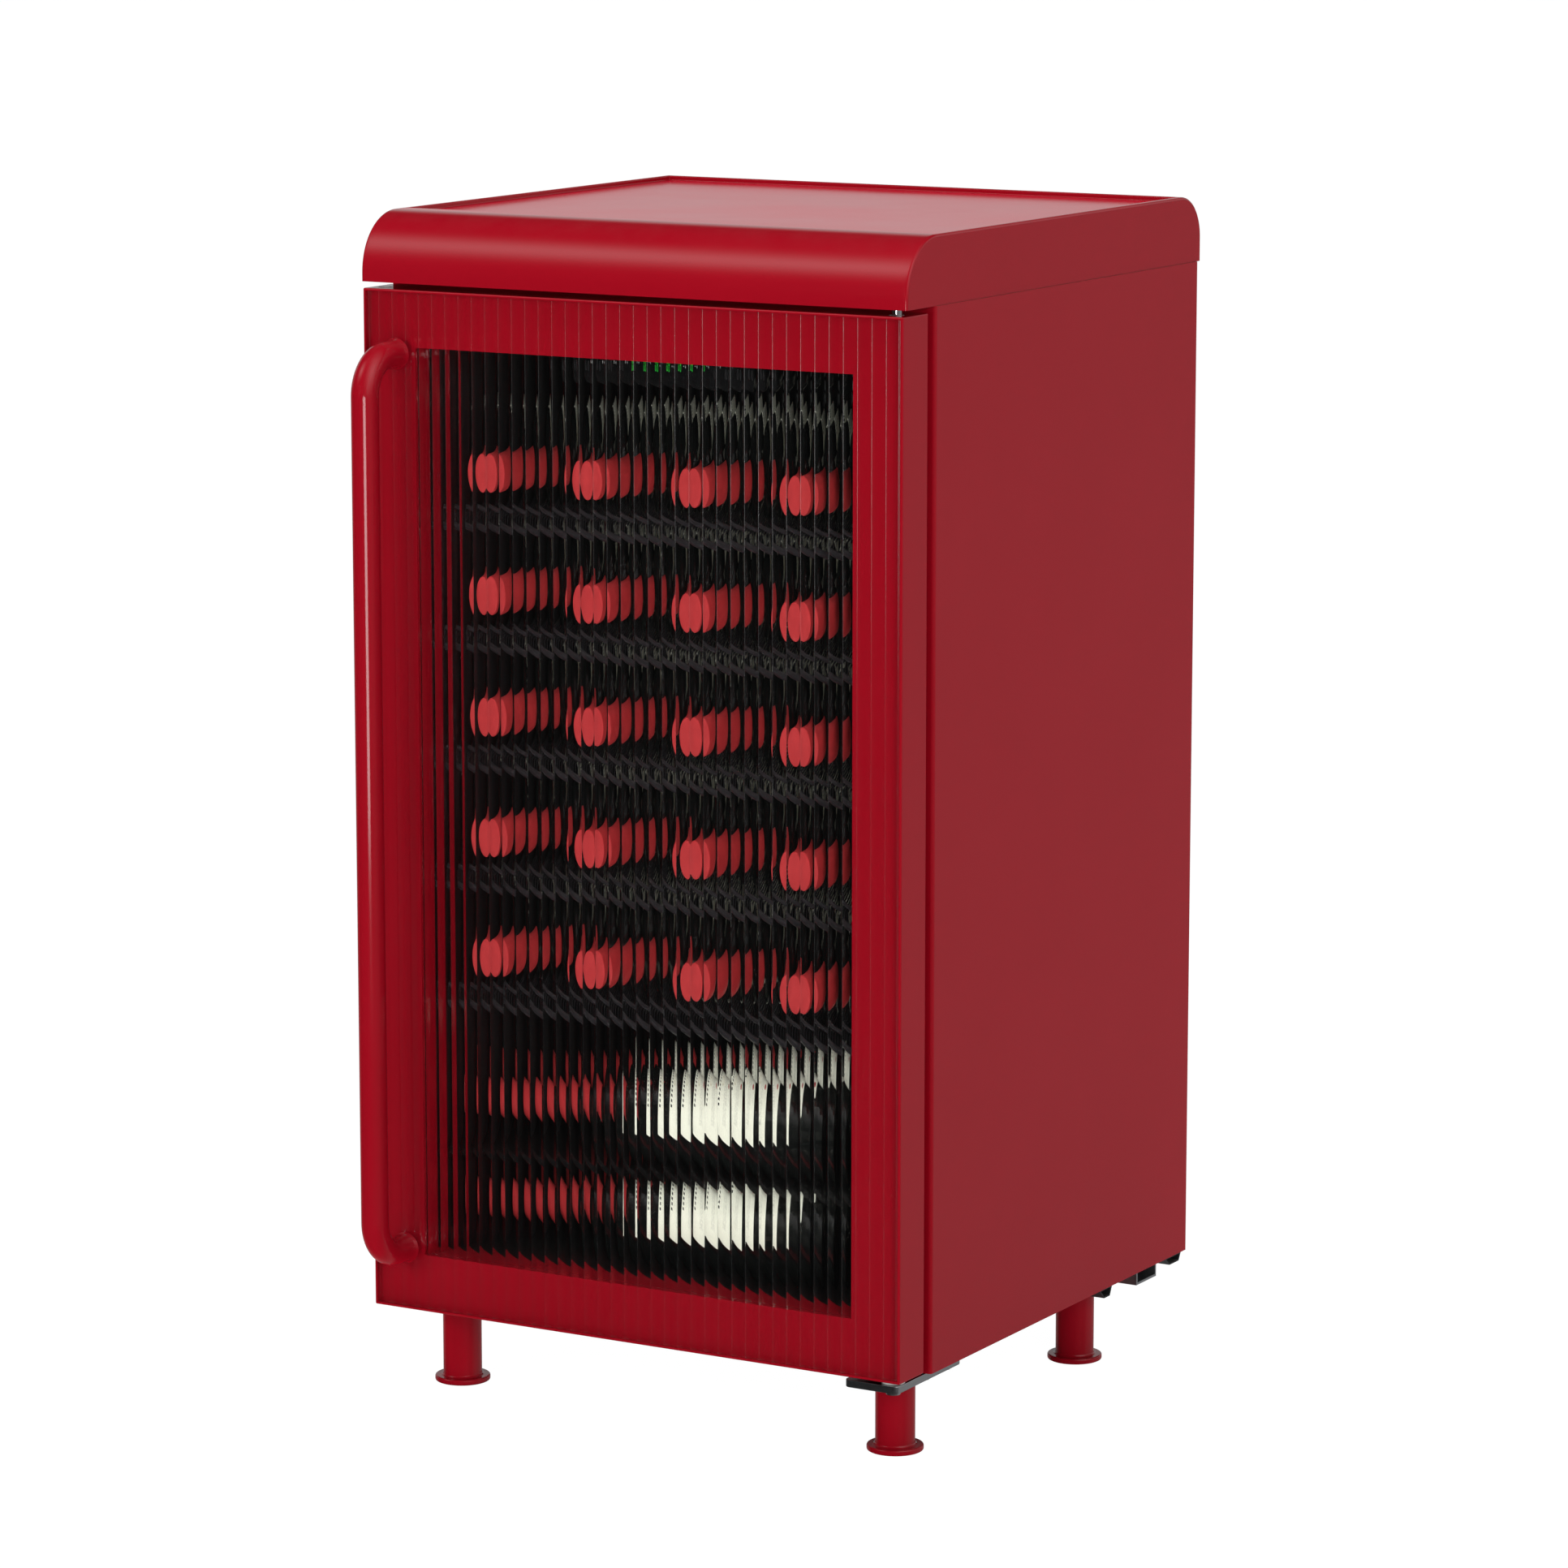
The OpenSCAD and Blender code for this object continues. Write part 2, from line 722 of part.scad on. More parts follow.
module terminal_box() {
    color([0.12, 0.12, 0.13]) difference() {
        block([comp_x - 20, comp_y - comp_r - 20, comp_z + 40], [comp_x + 34, comp_y, comp_z + 86]);
        rod_z(comp_x, comp_y, comp_z, comp_z + 100, comp_r + 3.1);
    }
}

// One tube through a list of corner points, with ball elbows
module tube(points, r) {
    for (i = [0 : len(points) - 2]) {
        d = points[i + 1] - points[i];
        translate(points[i]) rotate([0, acos(d[2] / norm(d)), atan2(d[1], d[0])]) cylinder(h = norm(d), r = r, $fn = 24);
    }
    for (i = [1 : len(points) - 2]) translate(points[i]) sphere(r, $fn = 24);
}

// Suction and discharge tubes and the filter drier
module refrigerant_tubes() {
    x = comp_x - comp_r - 22;
    color([0.72, 0.42, 0.25]) union() {
        tube([[x, comp_y + 20, comp_z + 110], [x - 30, comp_y + 20, comp_z + 110],
              [x - 30, comp_y + 20, bay_z1 - 12], [x - 30, bay_y0 + 6, bay_z1 - 12]], 4);
        tube([[x, comp_y - 20, comp_z + 60], [x - 60, comp_y - 20, comp_z + 60],
              [x - 60, comp_y - 20, comp_z + 20], [x - 110, comp_y - 20, comp_z + 20],
              [x - 110, comp_y - 20, comp_z + 50]], 3);
        rod_z(x - 110, comp_y - 20, comp_z + 50, comp_z + 150, 9);
        tube([[x - 110, comp_y - 20, comp_z + 150], [x - 110, comp_y - 20, bay_z1 - 12],
              [x - 110, bay_y0 + 6, bay_z1 - 12]], 2);
    }
}

// Open-ended channel that stiffens the back under the compressor
module rear_skid() {
    z0 = 58.5;
    color(steel) difference() {
        block([-foam_hw + 3, 184, z0], [foam_hw - 3, 220, base_z]);
        block([-foam_hw, 186, z0 + 2], [foam_hw, 218, base_z - 1.5]);
        for (p = comp_bolts) rod_z(p[0], p[1], z0 - 1, base_z + 1, 6);
    }
}

module rear_grille() {
    color(black) difference() {
        block([-foam_hw + 2, foam_y1, foam_z0 + 2], [foam_hw - 2, cab_y1, bay_z1 - 1]);
        for (i = [0 : 15], k = [0 : 2]) if (i > 1 || k > 0)
            block([-192 + 25 * i, foam_y1 - 1, 96 + 58 * k], [-182 + 25 * i, cab_y1 + 1, 138 + 58 * k]);
        for (p = grille_screws) rod_y(p[0], p[1], foam_y1 - 1, cab_y1 + 1, 2.05);
        rod_y(-176, 112, foam_y1 - 1, cab_y1 + 1, 9);
    }
}

module cable_gland() {
    color(black) difference() {
        union() {
            rod_y(-176, 112, foam_y1 - 6, cab_y1 + 4, 9);
            rod_y(-176, 112, cab_y1, cab_y1 + 3, 13);
            rod_y(-176, 112, foam_y1 - 4, foam_y1, 12);
        }
        rod_y(-176, 112, foam_y1 - 10, cab_y1 + 10, 4);
    }
}

// ---------------------------------------------------------------- door

module door_frame() {
    hw = door_w / 2;
    color(red) difference() {
        block([-hw, door_front_y, door_z], [hw, door_back_y, door_top_z]);
        block([-hw + lip, door_front_y - 1, door_z + lip], [hw - lip, glass_y0 + glass_t, door_top_z - lip]);
        block([-pane_hw, door_front_y, door_mid_z - pane_hh], [pane_hw, pane_y1, door_mid_z + pane_hh]);
        block([-win_hw, door_front_y, door_mid_z - win_hh], [win_hw, door_back_y + 1, door_mid_z + win_hh]);
        for (side = [-1, 1]) {
            rod_z(side * hinge_x, hinge_y, door_z - 1, door_z + bush_l, bush_r);
            rod_z(side * hinge_x, hinge_y, door_top_z - bush_l, door_top_z + 1, bush_r);
            rod_y(-handle_x, door_mid_z + side * handle_span / 2, door_front_y, door_back_y + 1, 3);
            rod_y(-handle_x, door_mid_z + side * handle_span / 2, door_back_y - 4, door_back_y + 1, 5.6);
        }
    }
}

module fluted_glass() {
    hw = door_w / 2 - lip - 0.2;
    hh = door_h / 2 - lip - 0.2;
    count = floor(2 * hw / flute_pitch);
    sag = flute_r - sqrt(flute_r * flute_r - flute_pitch * flute_pitch / 4);
    color([0.5, 0.6, 0.6, 0.4]) difference() {
        block([-hw, glass_y0, door_mid_z - hh], [hw, glass_y0 + glass_t, door_mid_z + hh]);
        for (i = [0 : count - 1])
            rod_z((i - (count - 1) / 2) * flute_pitch, glass_y0 - flute_r + sag, door_z - 5, door_top_z + 5, flute_r);
        for (side = [-1, 1])
            rod_y(-handle_x, door_mid_z + side * handle_span / 2, door_front_y, door_back_y, 3);
    }
}

module glass_spacer() {
    y0 = glass_y0 + glass_t;
    color([0.3, 0.3, 0.3]) difference() {
        block([-pane_hw + 0.3, y0, door_mid_z - pane_hh + 0.3], [pane_hw - 0.3, y0 + gap_t, door_mid_z + pane_hh - 0.3]);
        block([-win_hw - 1, y0 - 1, door_mid_z - win_hh - 1], [win_hw + 1, y0 + gap_t + 1, door_mid_z + win_hh + 1]);
    }
}

module inner_pane() {
    y0 = glass_y0 + glass_t + gap_t;
    color([0.5, 0.6, 0.6, 0.3]) block(
        [-pane_hw + 0.3, y0, door_mid_z - pane_hh + 0.3], [pane_hw - 0.3, y0 + pane_t, door_mid_z + pane_hh - 0.3]);
}

module door_gasket() {
    hw = door_w / 2 - 14;
    hh = door_h / 2 - 14;
    w = 14;
    y1 = cab_y0 - 0.3;
    color([0.12, 0.12, 0.12]) difference() {
        block([-hw, door_back_y, door_mid_z - hh], [hw, y1, door_mid_z + hh]);
        block([-hw + w, door_back_y - 1, door_mid_z - hh + w], [hw - w, y1 + 1, door_mid_z + hh - w]);
        block([-hw + 5, y1 - 1.2, door_mid_z - hh + 5], [hw - 5, y1 + 1, door_mid_z + hh - 5]);
    }
    color([0.12, 0.12, 0.12]) difference() {
        block([-hw + 7, door_back_y, door_mid_z - hh + 7], [hw - 7, y1, door_mid_z + hh - 7]);
        block([-hw + 12, door_back_y - 1, door_mid_z - hh + 12], [hw - 12, y1 + 1, door_mid_z + hh - 12]);
    }
}

// One handle arm with its bend; up is 1 at the top and -1 at the bottom
module handle_arm(up) {
    z = door_mid_z + up * handle_span / 2;
    straight = handle_reach - handle_bend;
    difference() {
        union() {
            rod_y(-handle_x, z, door_front_y + 0.5 - straight, door_front_y + 0.5, handle_r);
            rod_y(-handle_x, z, door_front_y - 1.5, door_front_y + 0.5, handle_r + 1.5);
            translate([-handle_x, door_front_y + 0.5 - straight, z - up * handle_bend]) rotate([0, 90, 0])
                rotate(up > 0 ? 180 : 270) rotate_extrude(angle = 90)
                translate([handle_bend, 0]) circle(handle_r);
        }
        rod_y(-handle_x, z, door_front_y - 12, door_front_y + 1, 3);
    }
}

module handle() {
    y = door_front_y + 0.5 - handle_reach;
    half = handle_span / 2 - handle_bend;
    color(red) union() {
        handle_arm(1);
        handle_arm(-1);
        rod_z(-handle_x, y, door_mid_z - half, door_mid_z + half, handle_r);
    }
}

module handle_screws() {
    color(steel) for (side = [-1, 1]) {
        z = door_mid_z + side * handle_span / 2;
        difference() {
            rod_y(-handle_x, z, door_back_y - 3.9, door_back_y - 0.5, 5.5);
            rod_y(-handle_x, z, door_back_y - 3, door_back_y, 2.5, $fn = 6);
        }
        rod_y(-handle_x, z, door_front_y - 11.5, door_back_y - 3.9 + eps, 3);
    }
}

// Plastic bearing bushes at the hinge side and blind plugs at the other
module door_bushes() {
    color([0.8, 0.8, 0.78]) {
        difference() {
            union() {
                rod_z(hinge_x, hinge_y, door_z, door_z + bush_l, bush_r);
                rod_z(hinge_x, hinge_y, 70.3, door_z, 9);
            }
            rod_z(hinge_x, hinge_y, 69, door_z + bush_l + 1, bush_bore_r);
        }
        difference() {
            rod_z(hinge_x, hinge_y, door_top_z - bush_l, door_top_z, bush_r);
            rod_z(hinge_x, hinge_y, door_top_z - bush_l - 1, door_top_z + 1, bush_bore_r);
        }
        rod_z(-hinge_x, hinge_y, door_z, door_z + bush_l, bush_r);
        difference() {
            rod_z(-hinge_x, hinge_y, door_top_z - bush_l, door_top_z, bush_r);
            rod_z(-hinge_x, hinge_y, door_top_z - bush_l + 3, door_top_z + 1, bush_bore_r);
        }
    }
}

side_panel(-1);  // side_panel_left
side_panel(1);  // side_panel_right
front_rails();
base_pan();
back_panel();
insulation();
inner_liner();
top_cover();
upper_hinge_plate();
upper_hinge_pin();
lower_hinge_bracket();
lower_hinge_pin();
hinge_screws();
panel_screws();
leg(-leg_x, -154, foam_z0 + 12);  // leg_front_left
leg(leg_x, -154, foam_z0 + 12);  // leg_front_right
leg(-leg_x, 150, foam_z0 + 12);  // leg_rear_left
leg(leg_x, 150, foam_z0 + 12);  // leg_rear_right
wire_shelf(shelf_z(1));  // shelf_1
wire_shelf(shelf_z(2));  // shelf_2
wire_shelf(shelf_z(3));  // shelf_3
wire_shelf(shelf_z(4));  // shelf_4
wire_shelf(shelf_z(5));  // shelf_5
bottle_row(1);  // bottles_row_1
bottle_row(2);  // bottles_row_2
bottle_row(3);  // bottles_row_3
bottle_row(4);  // bottles_row_4
bottle_row(5);  // bottles_row_5
lower_shelf();
lying_bottles();
bottle_capsules();
bottle_labels();
control_box();
display_window();
display_digits();
button(0);  // button_power
button(1);  // button_light
button(2);  // button_down
button(3);  // button_up
interior_lamp();
evaporator_cover();
evaporator_plate();
fan_motor();
fan_rotor();
compressor();
compressor_plate();
compressor_mounts();
terminal_box();
refrigerant_tubes();
rear_skid();
rear_grille();
cable_gland();
door_frame();
fluted_glass();
glass_spacer();
inner_pane();
door_gasket();
handle();
handle_screws();
door_bushes();
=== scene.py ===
"""Looks for a free-standing retro bottle cooler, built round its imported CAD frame.

Sizes are in metres in the frame's own axes: X to the right as seen from the door, Y from the door to
the back, Z up. Each sub-assembly is a class that models its pieces with bmesh operators and dresses them.
"""
from __future__ import annotations

import logging
import math
from dataclasses import dataclass, field
from enum import Enum
from typing import Callable, Iterable, Sequence

import bmesh
import bpy
from mathutils import Matrix, Vector


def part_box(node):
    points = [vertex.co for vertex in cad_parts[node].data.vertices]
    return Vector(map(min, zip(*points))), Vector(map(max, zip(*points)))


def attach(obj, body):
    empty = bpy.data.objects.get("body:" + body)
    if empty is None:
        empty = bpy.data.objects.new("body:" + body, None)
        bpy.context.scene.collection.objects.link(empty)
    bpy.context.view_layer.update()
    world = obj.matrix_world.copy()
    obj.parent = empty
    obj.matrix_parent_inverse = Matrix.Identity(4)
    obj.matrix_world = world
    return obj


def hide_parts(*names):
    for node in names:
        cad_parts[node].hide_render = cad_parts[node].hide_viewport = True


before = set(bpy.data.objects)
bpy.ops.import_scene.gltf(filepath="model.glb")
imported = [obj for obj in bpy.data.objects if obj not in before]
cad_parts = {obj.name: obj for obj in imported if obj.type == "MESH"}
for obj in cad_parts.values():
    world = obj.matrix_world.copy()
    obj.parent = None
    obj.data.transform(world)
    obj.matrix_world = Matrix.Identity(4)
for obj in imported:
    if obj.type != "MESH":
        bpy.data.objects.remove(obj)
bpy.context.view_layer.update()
LOG = logging.getLogger("cooler")
MM = 0.001
SAME = 1e-7
WHITE = (1.0, 1.0, 1.0, 1.0)
Colour = tuple[float, float, float]
Edge = bmesh.types.BMEdge
Vert = bmesh.types.BMVert
Material = bpy.types.Material
Socket = bpy.types.NodeSocket
Tree = bpy.types.NodeTree


# ------------------------------------------------------------------------------------- modelling


class Axis(Enum):
    """A direction that a turned shape points in."""

    FRONT = (0.0, -1.0, 0.0)
    BACK = (0.0, 1.0, 0.0)
    UP = (0.0, 0.0, 1.0)

    def at(self, base: Sequence[float]) -> Matrix:
        """Returns the place of a shape that starts at a point and points this way."""
        return Matrix.Translation(Vector(base)) @ turn_to(self.value)


def turn_to(way: Sequence[float]) -> Matrix:
    """Returns the rotation that takes the Z axis to a direction."""
    return Vector((0, 0, 1)).rotation_difference(Vector(way)).to_matrix().to_4x4()


def middle_of(node: str) -> Vector:
    """Returns the middle of a CAD node's box."""
    low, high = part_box(node)
    return (low + high) / 2


def shift(bm: bmesh.types.BMesh, geom: Iterable, way: Sequence[float]) -> None:
    """Moves the vertices among some elements of a bmesh."""
    bmesh.ops.translate(bm, vec=Vector(way), verts=[g for g in geom if isinstance(g, Vert)])


class Solid:
    """One mesh while it is being modelled."""

    def __init__(self) -> None:
        """Starts with nothing."""
        self.bm = bmesh.new()

    def block(self, low: Sequence[float], high: Sequence[float]) -> Solid:
        """Adds a box.

        Args:
            low: Its lowest corner.
            high: Its highest corner.

        Returns:
            This solid.
        """
        low, high = Vector(low), Vector(high)
        place = Matrix.Translation((low + high) / 2) @ Matrix.Diagonal((*(high - low), 1.0))
        bmesh.ops.create_cube(self.bm, size=1.0, matrix=place)
        return self

    def lathe(self, outline: Sequence[tuple[float, float]], place: Matrix, steps: int) -> Solid:
        """Adds a shape turned from an outline of radius and height pairs.

        Args:
            outline: Radius and height of each corner, from the bottom to the top.
            place: Where the foot of its axis lies and which way it points.
            steps: Number of steps round.

        Returns:
            This solid.
        """
        verts = [self.bm.verts.new((radius, 0.0, height)) for radius, height in outline]
        edges = [self.bm.edges.new(pair) for pair in zip(verts, verts[1:])]
        bmesh.ops.spin(self.bm, geom=verts + edges, cent=(0, 0, 0), axis=(0, 0, 1), dvec=(0, 0, 0),
                       angle=2 * math.pi, steps=steps, use_merge=True)
        points = list({v for f in _linked_faces(verts) for v in f.verts})
        bmesh.ops.remove_doubles(self.bm, verts=points, dist=SAME)
        points = [v for v in points if v.is_valid]
        rings = [e for e in {e for v in points for e in v.link_edges} if e.is_boundary]
        if rings:
            bmesh.ops.holes_fill(self.bm, edges=rings, sides=0)
        bmesh.ops.transform(self.bm, matrix=place, verts=points)
        return self

    def rod(self, start: Sequence[float], end: Sequence[float], radius: float, steps: int) -> Solid:
        """Adds a round bar between two points.

        Args:
            start: Centre of one end.
            end: Centre of the other end.
            radius: Radius of the bar.
            steps: Number of sides.

        Returns:
            This solid.
        """
        start, end = Vector(start), Vector(end)
        bmesh.ops.create_cone(self.bm, cap_ends=True, segments=steps, radius1=radius, radius2=radius,
                              depth=(end - start).length,
                              matrix=Matrix.Translation((start + end) / 2) @ turn_to(end - start))
        return self

    def prism(self, outline: Sequence[Sequence[float]], along: Sequence[float]) -> Solid:
        """Adds a flat outline drawn out along a direction.

        Args:
            outline: Corners of the outline, in order.
            along: How far and which way it is drawn out.

        Returns:
            This solid.
        """
        face = self.bm.faces.new([self.bm.verts.new(point) for point in outline])
        made = bmesh.ops.extrude_face_region(self.bm, geom=[face], use_keep_orig=True)
        shift(self.bm, made["geom"], along)
        return self

    def soften(self, width: float, segments: int = 2, sharper: float = 25.0,
               test: Callable[[Edge], bool] = lambda edge: True) -> Solid:
        """Rounds the sharp edges.

        Args:
            width: Width of the rounding.
            segments: Number of steps in it.
            sharper: Only edges that turn by more than this, in degrees.
            test: Only edges that pass this too.

        Returns:
            This solid.
        """
        bmesh.ops.recalc_face_normals(self.bm, faces=self.bm.faces)
        self.bm.normal_update()
        limit = math.radians(sharper)
        edges = [e for e in self.bm.edges
                 if len(e.link_faces) == 2 and e.calc_face_angle(0) > limit and test(e)]
        if edges:
            bmesh.ops.bevel(self.bm, geom=edges, offset=width, offset_type="OFFSET", segments=segments,
                            profile=0.5, affect="EDGES", material=-1, clamp_overlap=True)
        return self

    def join(self, other: Solid) -> Solid:
        """Takes in another solid's mesh and returns this one."""
        scratch = bpy.data.meshes.new("scratch")
        other.bm.to_mesh(scratch)
        self.bm.from_mesh(scratch)
        bpy.data.meshes.remove(scratch)
        other.bm.free()
        return self

    def cut(self, *cutters: Solid) -> Solid:
        """Takes the cutters' shapes out of this solid.

        Args:
            cutters: Closed solids, which are used up.

        Returns:
            This solid.
        """
        tool = Solid()
        for cutter in cutters:
            tool.join(cutter)
        for solid in (tool, self):
            bmesh.ops.recalc_face_normals(solid.bm, faces=solid.bm.faces)
        body, knife = (_scratch_object(solid.bm) for solid in (self, tool))
        step = body.modifiers.new("cut", "BOOLEAN")
        step.operation, step.solver, step.object = "DIFFERENCE", "EXACT", knife
        step.use_self = True
        bpy.context.view_layer.update()
        result = bpy.data.meshes.new_from_object(body.evaluated_get(bpy.context.evaluated_depsgraph_get()))
        self.bm.clear()
        self.bm.from_mesh(result)
        meshes = [body.data, knife.data, result]
        for used in (body, knife):
            bpy.data.objects.remove(used)
        for mesh in meshes:
            bpy.data.meshes.remove(mesh)
        tool.bm.free()
        return self

    def publish(self, name: str, finish: Material, slot: str, replaces: Iterable[str] = (),
                smooth: float = 35.0, body: str = "cabinet") -> bpy.types.Object:
        """Turns the solid into a finished piece of the object.

        Args:
            name: Name of the piece.
            finish: Its material.
            slot: The record's material slot; not used.
            replaces: CAD nodes that it stands for.
            smooth: Edges that turn by less than this, in degrees, are shaded smooth.
            body: The moving body that it rides on.

        Returns:
            The piece.
        """
        bmesh.ops.remove_doubles(self.bm, verts=self.bm.verts, dist=SAME)
        bmesh.ops.recalc_face_normals(self.bm, faces=self.bm.faces)
        mesh = bpy.data.meshes.new(name)
        self.bm.to_mesh(mesh)
        self.bm.free()
        mesh.polygons.foreach_set("use_smooth", [True] * len(mesh.polygons))
        mesh.set_sharp_from_angle(angle=math.radians(smooth))
        mesh.materials.append(finish)
        piece = bpy.data.objects.new(name, mesh)
        bpy.context.scene.collection.objects.link(piece)
        piece.modifiers.new("flat_faces", "WEIGHTED_NORMAL").keep_sharp = True
        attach(piece, body)
        if replaces:
            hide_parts(*replaces)
        LOG.info("%s: %d faces on %s", name, len(mesh.polygons), body)
        return piece


def dress(finish: Material, *nodes: str) -> None:
    """Gives CAD nodes their finish.

    Args:
        finish: The material.
        nodes: Names of the nodes.
    """
    for node in nodes:
        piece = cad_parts[node]
        piece.data.materials.clear()
        piece.data.materials.append(finish)
        LOG.info("%s: dressed", node)


def _linked_faces(verts: Iterable[Vert]) -> list:
    """Returns every face joined to the given vertices, however far."""
    seen, queue = set(), [f for v in verts if v.is_valid for f in v.link_faces]
    while queue:
        face = queue.pop()
        if face not in seen:
            seen.add(face)
            queue.extend(f for e in face.edges for f in e.link_faces if f not in seen)
    return list(seen)


def _scratch_object(bm: bmesh.types.BMesh) -> bpy.types.Object:
    """Returns a linked object that holds a copy of a bmesh."""
    mesh = bpy.data.meshes.new("scratch")
    bm.to_mesh(mesh)
    thing = bpy.data.objects.new("scratch", mesh)
    bpy.context.scene.collection.objects.link(thing)
    return thing


class Tube:
    """A round tube that is drawn leg by leg."""

    def __init__(self, solid: Solid, start: Sequence[float], heading: Sequence[float], radius: float,
                 steps: int) -> None:
        """Starts with one end ring.

        Args:
            solid: The solid that the tube is added to.
            start: Centre of the end ring.
            heading: The direction of the first leg.
            radius: Radius of the tube.
            steps: Number of sides.
        """
        self.bm = solid.bm
        self.centre, self.heading = Vector(start), Vector(heading).normalized()
        place = Matrix.Translation(self.centre) @ turn_to(self.heading)
        ring = bmesh.ops.create_circle(self.bm, cap_ends=True, segments=steps, radius=radius, matrix=place)
        self.ring = list({e for v in ring["verts"] for e in v.link_edges})

    def straight(self, length: float) -> Tube:
        """Draws a straight leg of a length and returns this tube."""
        made = bmesh.ops.extrude_edge_only(self.bm, edges=self.ring)["geom"]
        shift(self.bm, made, self.heading * length)
        self.ring = [g for g in made if isinstance(g, Edge) and g.is_boundary]
        self.centre += self.heading * length
        return self

    def bend(self, towards: Sequence[float], radius: float, steps: int) -> Tube:
        """Draws a right-angled bend.

        Args:
            towards: The direction in which the tube turns.
            radius: Centreline radius of the bend.
            steps: Number of steps in it.

        Returns:
            This tube.
        """
        towards = Vector(towards).normalized()
        axis = self.heading.cross(towards)
        pivot = self.centre + towards * radius
        verts = list({v for e in self.ring for v in e.verts})
        made = bmesh.ops.spin(self.bm, geom=verts + self.ring, cent=pivot, axis=axis, dvec=(0, 0, 0),
                              angle=math.pi / 2, steps=steps)["geom_last"]
        self.ring = [g for g in made if isinstance(g, Edge)]
        turn = Matrix.Rotation(math.pi / 2, 3, axis)
        self.centre = pivot + turn @ (self.centre - pivot)
        self.heading = turn @ self.heading
        return self

    def close(self) -> None:
        """Closes the end of the tube."""
        bmesh.ops.edgeloop_fill(self.bm, edges=self.ring)


def arc(centre: tuple[float, float], radius: float, start: float, end: float, steps: int) -> list:
    """Returns points along an arc.

    Args:
        centre: Centre of the arc in its plane.
        radius: Its radius.
        start: Where it starts, in degrees.
        end: Where it ends, in degrees.
        steps: Number of steps.

    Returns:
        A list of coordinate pairs.
    """
    turns = [math.radians(start + (end - start) * i / steps) for i in range(steps + 1)]
    return [(centre[0] + radius * math.cos(a), centre[1] + radius * math.sin(a)) for a in turns]


# ------------------------------------------------------------------------------------- materials


class Nodes:
    """A short way to fill a node tree."""

    def __init__(self, tree: Tree) -> None:
        """Takes the tree to fill."""
        self.tree = tree

    def feed(self, node: bpy.types.Node, inputs: dict) -> bpy.types.Node:
        """Gives a node's inputs, by name or number, values or output sockets, and returns the node."""
        for name, value in inputs.items():
            if isinstance(value, Socket):
                self.tree.links.new(value, node.inputs[name])
            else:
                node.inputs[name].default_value = value
        return node

    def add(self, kind: str, inputs: dict | None = None, **settings: object) -> bpy.types.Node:
        """Adds a node.

        Args:
            kind: The node's type, without the ShaderNode in front.
            inputs: Input names or numbers with a value or an output socket for each.
            settings: The node's own settings.

        Returns:
            The node.
        """
        node = self.tree.nodes.new("ShaderNode" + kind)
        for name, value in settings.items():
            setattr(node, name, value)
        return self.feed(node, inputs or {})

    def math(self, operation: str, a: object, b: object = 0.0) -> Socket:
        """Returns the result of a math node on two values."""
        return self.add("Math", {0: a, 1: b}, operation=operation).outputs[0]

    def times(self, first: object, *others: object) -> Socket:
        """Returns the product of two or more values."""
        for other in others:
            first = self.math("MULTIPLY", first, other)
        return first

    def within(self, value: object, low: object, high: object) -> Socket:
        """Returns 1 where a value lies between two limits."""
        return self.times(self.math("GREATER_THAN", value, low), self.math("LESS_THAN", value, high))

    def remap(self, value: object, low: float, high: float, to_low: float = 0.0, to_high: float = 1.0,
              smooth: bool = False) -> Socket:
        """Returns a value carried from one range to another and kept inside it."""
        kind = "SMOOTHSTEP" if smooth else "LINEAR"
        sockets = {"Value": value, "From Min": low, "From Max": high, "To Min": to_low, "To Max": to_high}
        return self.add("MapRange", sockets, interpolation_type=kind).outputs[0]

    def blend(self, fac: object, a: object, b: object) -> Socket:
        """Returns a mix of two colours."""
        sockets = {place: value if isinstance(value, Socket) else (*value, 1.0)
                   for place, value in ((6, a), (7, b))}
        return self.add("Mix", {0: fac, **sockets}, data_type="RGBA").outputs[2]

    def mix(self, fac: object, a: bpy.types.Node, b: bpy.types.Node) -> bpy.types.Node:
        """Adds a mix of two shaders."""
        return self.add("MixShader", {0: fac, 1: a.outputs[0], 2: b.outputs[0]})

    def noise(self, vector: object, scale: object, detail: float, rough: float = 0.5) -> Socket:
        """Returns the value of a noise texture."""
        sockets = {"Vector": vector, "Scale": scale, "Detail": detail, "Roughness": rough}
        return self.add("TexNoise", sockets).outputs["Fac"]

    def bump(self, height: Socket, strength: float, depth: float) -> Socket:
        """Returns the normal of a surface with a texture in it."""
        return self.add("Bump", {"Strength": strength, "Distance": depth, "Height": height}).outputs[0]

    def group(self, tree: Tree, **values: object) -> bpy.types.Node:
        """Adds a node group with values for its inputs."""
        return self.add("Group", values, node_tree=tree)

    def surface(self, coarse: float, fine: float, balance: float) -> Sequence[Socket]:
        """Returns what the fine texture puts out at two scales."""
        return self.group(EFFECTS.surface, Coarse=coarse, Fine=fine, Balance=balance).outputs


def new_group(name: str, inputs: dict[str, tuple[str, object]], outputs: Sequence[str]) -> tuple:
    """Makes an empty shader node group.

    Args:
        name: Its name.
        inputs: Each input's socket kind and default value.
        outputs: Names of the numbers that it puts out.

    Returns:
        Its builder, the sockets that it is given and its output node.
    """
    tree = bpy.data.node_groups.new(name, "ShaderNodeTree")
    for label, (kind, default) in inputs.items():
        socket = tree.interface.new_socket(name=label, in_out="INPUT", socket_type="NodeSocket" + kind)
        socket.default_value = default
    for label in outputs:
        tree.interface.new_socket(name=label, in_out="OUTPUT", socket_type="NodeSocketFloat")
    return Nodes(tree), tree.nodes.new("NodeGroupInput").outputs, tree.nodes.new("NodeGroupOutput")


